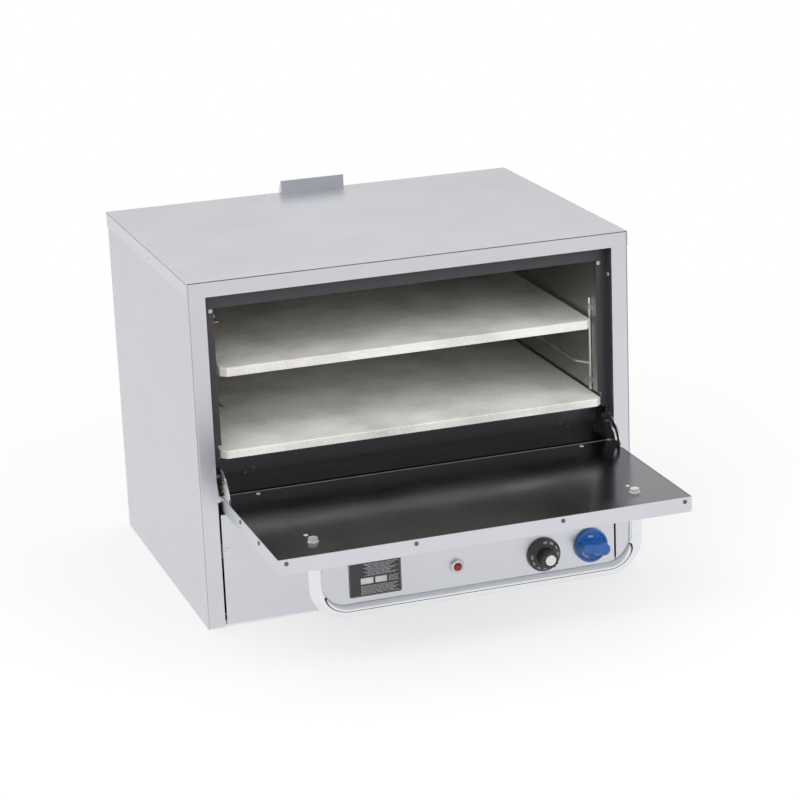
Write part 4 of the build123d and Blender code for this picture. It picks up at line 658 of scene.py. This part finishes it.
DISH = [(0.0334, 0), (0.034, 0.0006), (0.034, 0.0070), (0.0337, 0.0078), (0.0328, 0.0084),
        (0.0300, 0.0085), (0.0293, 0.0083), (0.0280, 0.0069), (0.0272, 0.0067), (0, 0.0067)]
GRIP_LENGTH, GRIP_WIDE, GRIP_NARROW = 0.062, 0.0125, 0.0075
GRIP_STEPS = 48
GRIP_TURN = -11
GRIP_LEVELS = ((-0.0010, 0.0066), (-0.0003, 0.0072), (0, 0.0082), (0, 0.0272), (0.0003, 0.0288),
               (0.0011, 0.0301), (0.0022, 0.0308), (0.0036, 0.0310))
GAS_WORDS = (("OFF", -0.002, 0.0195, -6), ("PILOT", -0.0150, -0.0175, -42),
             ("ON", 0.012, -0.0195, -16))
GAS_WORD_LEVEL = 0.0069
GAS_WORD_SIZE = 0.0066


def gas_dial():
    """Dished dial with a tapered grip across it."""
    bm = bmesh.new()
    place = seat("gas_knob")
    lathe(bm, DISH, place, 96)
    wide, narrow, steps = GRIP_WIDE, GRIP_NARROW, GRIP_STEPS
    far, near = GRIP_LENGTH / 2 - wide, GRIP_LENGTH / 2 - narrow
    lean = (wide - narrow) / (far + near)

    def grip(inset):
        points = []
        for n in range(steps + 1):
            turn = -pi / 2 + lean + (pi - 2 * lean) * n / steps
            points.append((far + (wide - inset) * cos(turn), (wide - inset) * sin(turn)))
        for n in range(steps + 1):
            turn = pi / 2 - lean + (pi + 2 * lean) * n / steps
            points.append(((narrow - inset) * cos(turn) - near, (narrow - inset) * sin(turn)))
        return points

    stack(bm, place @ Matrix.Rotation(radians(GRIP_TURN), 4, "Z"),
          [(grip(inset), height) for inset, height in GRIP_LEVELS])
    finished("gas_dial_moulding", bm, ["blue"], "gas_dial", "gas_knob")
    for word, x, y, turn in GAS_WORDS:
        spot = Matrix.Translation((x, y, GAS_WORD_LEVEL)) @ Matrix.Rotation(radians(turn), 4, "Z")
        lettering(f"gas_dial_{word.lower()}", word, GAS_WORD_SIZE, place @ spot, "gas_dial")


BUTTON = [(0.003, -0.0315), (0.003, -0.0150), (0.0074, -0.0150), (0.0074, -0.0030),
          (0.0072, -0.0018), (0.0066, -0.0009), (0.0054, -0.0003), (0.0030, -0.0001), (0, 0)]


def reset_button():
    """Domed button on its plunger."""
    bm = bmesh.new()
    low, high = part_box("reset_button")
    front = Vector(((low[0] + high[0]) / 2, low[1], (low[2] + high[2]) / 2))
    place = Matrix.Translation(front) @ FACING
    lathe(bm, BUTTON, place, 64)
    finished("reset_button_cap", bm, ["red"], "reset_plunger", "reset_button")


LETTER_DEPTH = 0.00008


def lettering(name, text, size, place, body):
    """White printing on a dial."""
    curve = bpy.data.curves.new(name, "FONT")
    curve.body = text
    curve.size = size
    curve.align_x = "CENTER"
    curve.align_y = "CENTER"
    curve.extrude = LETTER_DEPTH
    curve.materials.append(MATERIALS["white"])
    made = bpy.data.objects.new(name, curve)
    made.matrix_world = place
    bpy.context.collection.objects.link(made)
    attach(made, body)


DIAL_CENTRE = (0.247, -0.3262, 0.046)
RING_LIP, RING_TOP = (0.0328, 0.0062), (0.0210, 0.0130)
NUMBER_RADIUS, NUMBER_LEVEL, NUMBER_LIFT = 0.0272, 0.00955, 0.00012
NUMBER_SIZE = 0.0058
NUMBER_STEP = 30


def dial_marks():
    """Numbers round the sloped ring of the thermostat dial."""
    centre = Vector(DIAL_CENTRE)
    slope = Vector((RING_TOP[0] - RING_LIP[0], RING_TOP[1] - RING_LIP[1])).normalized()
    for n, number in enumerate(str(value) for value in range(150, 601, 50)):
        angle = radians(90 - NUMBER_STEP * n)
        radial = Vector((cos(angle), 0, sin(angle)))
        inward = radial * slope[0] + Vector((0, -slope[1], 0))
        across = Vector((sin(angle), 0, -cos(angle)))
        out = across.cross(inward)
        middle = (centre + radial * NUMBER_RADIUS + Vector((0, -NUMBER_LEVEL, 0))
                  + out * NUMBER_LIFT)
        up = -inward
        place = Matrix((across, up, out)).transposed().to_4x4()
        lettering(f"dial_number_{number}", number, NUMBER_SIZE, Matrix.Translation(middle) @ place,
                  "thermostat_dial")


RETAINER_GAP = 0.0018
RETAINER_THICK = 0.0008


def blanket_retainers():
    """Dark strips beside the front baffle that close the front ends of the side blankets."""
    low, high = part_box("insulation_sides")
    baffle_low, baffle_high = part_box("front_baffle")
    inner = baffle_high[0] + RETAINER_GAP
    size = Matrix.Diagonal((high[0] - inner, RETAINER_THICK, baffle_high[2] - baffle_low[2], 1))
    bm = bmesh.new()
    for side in (-1, 1):
        middle = (side * (inner + high[0]) / 2, low[1] - RETAINER_GAP,
                  (baffle_low[2] + baffle_high[2]) / 2)
        bmesh.ops.create_cube(bm, size=1, matrix=Matrix.Translation(middle) @ size)
    mesh = bpy.data.meshes.new("blanket_retainers")
    bm.to_mesh(mesh)
    bm.free()
    piece("blanket_retainers", mesh, ["jamb"], "cabinet", smooth=False)


FIELD_HIGH = 0.00008
FIELD_LIFT = 0.00002
BLANK_FIELDS = ((0.0235, 0.0255), (0.0530, 0.0235))
BLANK_FIELD_TOP, BLANK_FIELD_TALL = 0.0330, 0.0120
RULE_TALL, RULE_GAP, RULE_PITCH, RULE_LEAST = 0.0011, 0.0012, 0.0026, 0.002
RULE_SHORT, RULE_GROWTH = 0.004, 0.0023
BORDER = ((0.0015, 0.0015, 0.103, 0.0004), (0.0015, 0.0681, 0.103, 0.0004),
          (0.0015, 0.0015, 0.0004, 0.067), (0.1041, 0.0015, 0.0004, 0.067))


def plate_fields():
    """Blank fields and fine blank rules on the rating plate."""
    low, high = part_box("rating_plate")
    face = Matrix.Translation((low[0], low[1] - FIELD_LIFT, high[2])) @ FACING
    bm = bmesh.new()

    def field(x, z, w, h, finish):
        slab(bm, face @ Matrix.Translation((x + w / 2, -z - h / 2, 0)), (w, h), FIELD_HIGH, finish)

    def rule(left, right, z, n):
        x = left
        while x < right - RULE_LEAST:
            width = min(RULE_SHORT + RULE_GROWTH * ((7 * n + round(900 * x)) % 5), right - x)
            field(x, z, width, RULE_TALL, 1)
            x += width + RULE_GAP
            n += 1

    for x, w in BLANK_FIELDS:
        field(x, BLANK_FIELD_TOP, w, BLANK_FIELD_TALL, 0)
    for n in range(10):
        rule(0.030 + 0.004 * (n % 3), 0.100 - 0.006 * (n % 4), 0.0045 + RULE_PITCH * n, n)
    for n in range(7):
        rule(0.0235, 0.100 - 0.005 * (n % 3), 0.0490 + RULE_PITCH * n, n)
    for n in range(5):
        rule(0.0800, 0.101 - 0.003 * (n % 2), 0.0335 + RULE_PITCH * n, n)
    for x, z, w, h in BORDER:
        field(x, z, w, h, 1)
    mesh = bpy.data.meshes.new("plate_fields")
    bm.to_mesh(mesh)
    bm.free()
    piece("plate_fields", mesh, ["white", "rule"], "cabinet", smooth=False)


thermostat_dial()
thermostat_cap()
gas_dial()
reset_button()
dial_marks()
plate_fields()
blanket_retainers()

set_camera()
set_floor()
set_world()
for lamp_values in LAMPS:
    add_lamp(*lamp_values)

bpy.context.scene.view_settings.view_transform = "Standard"
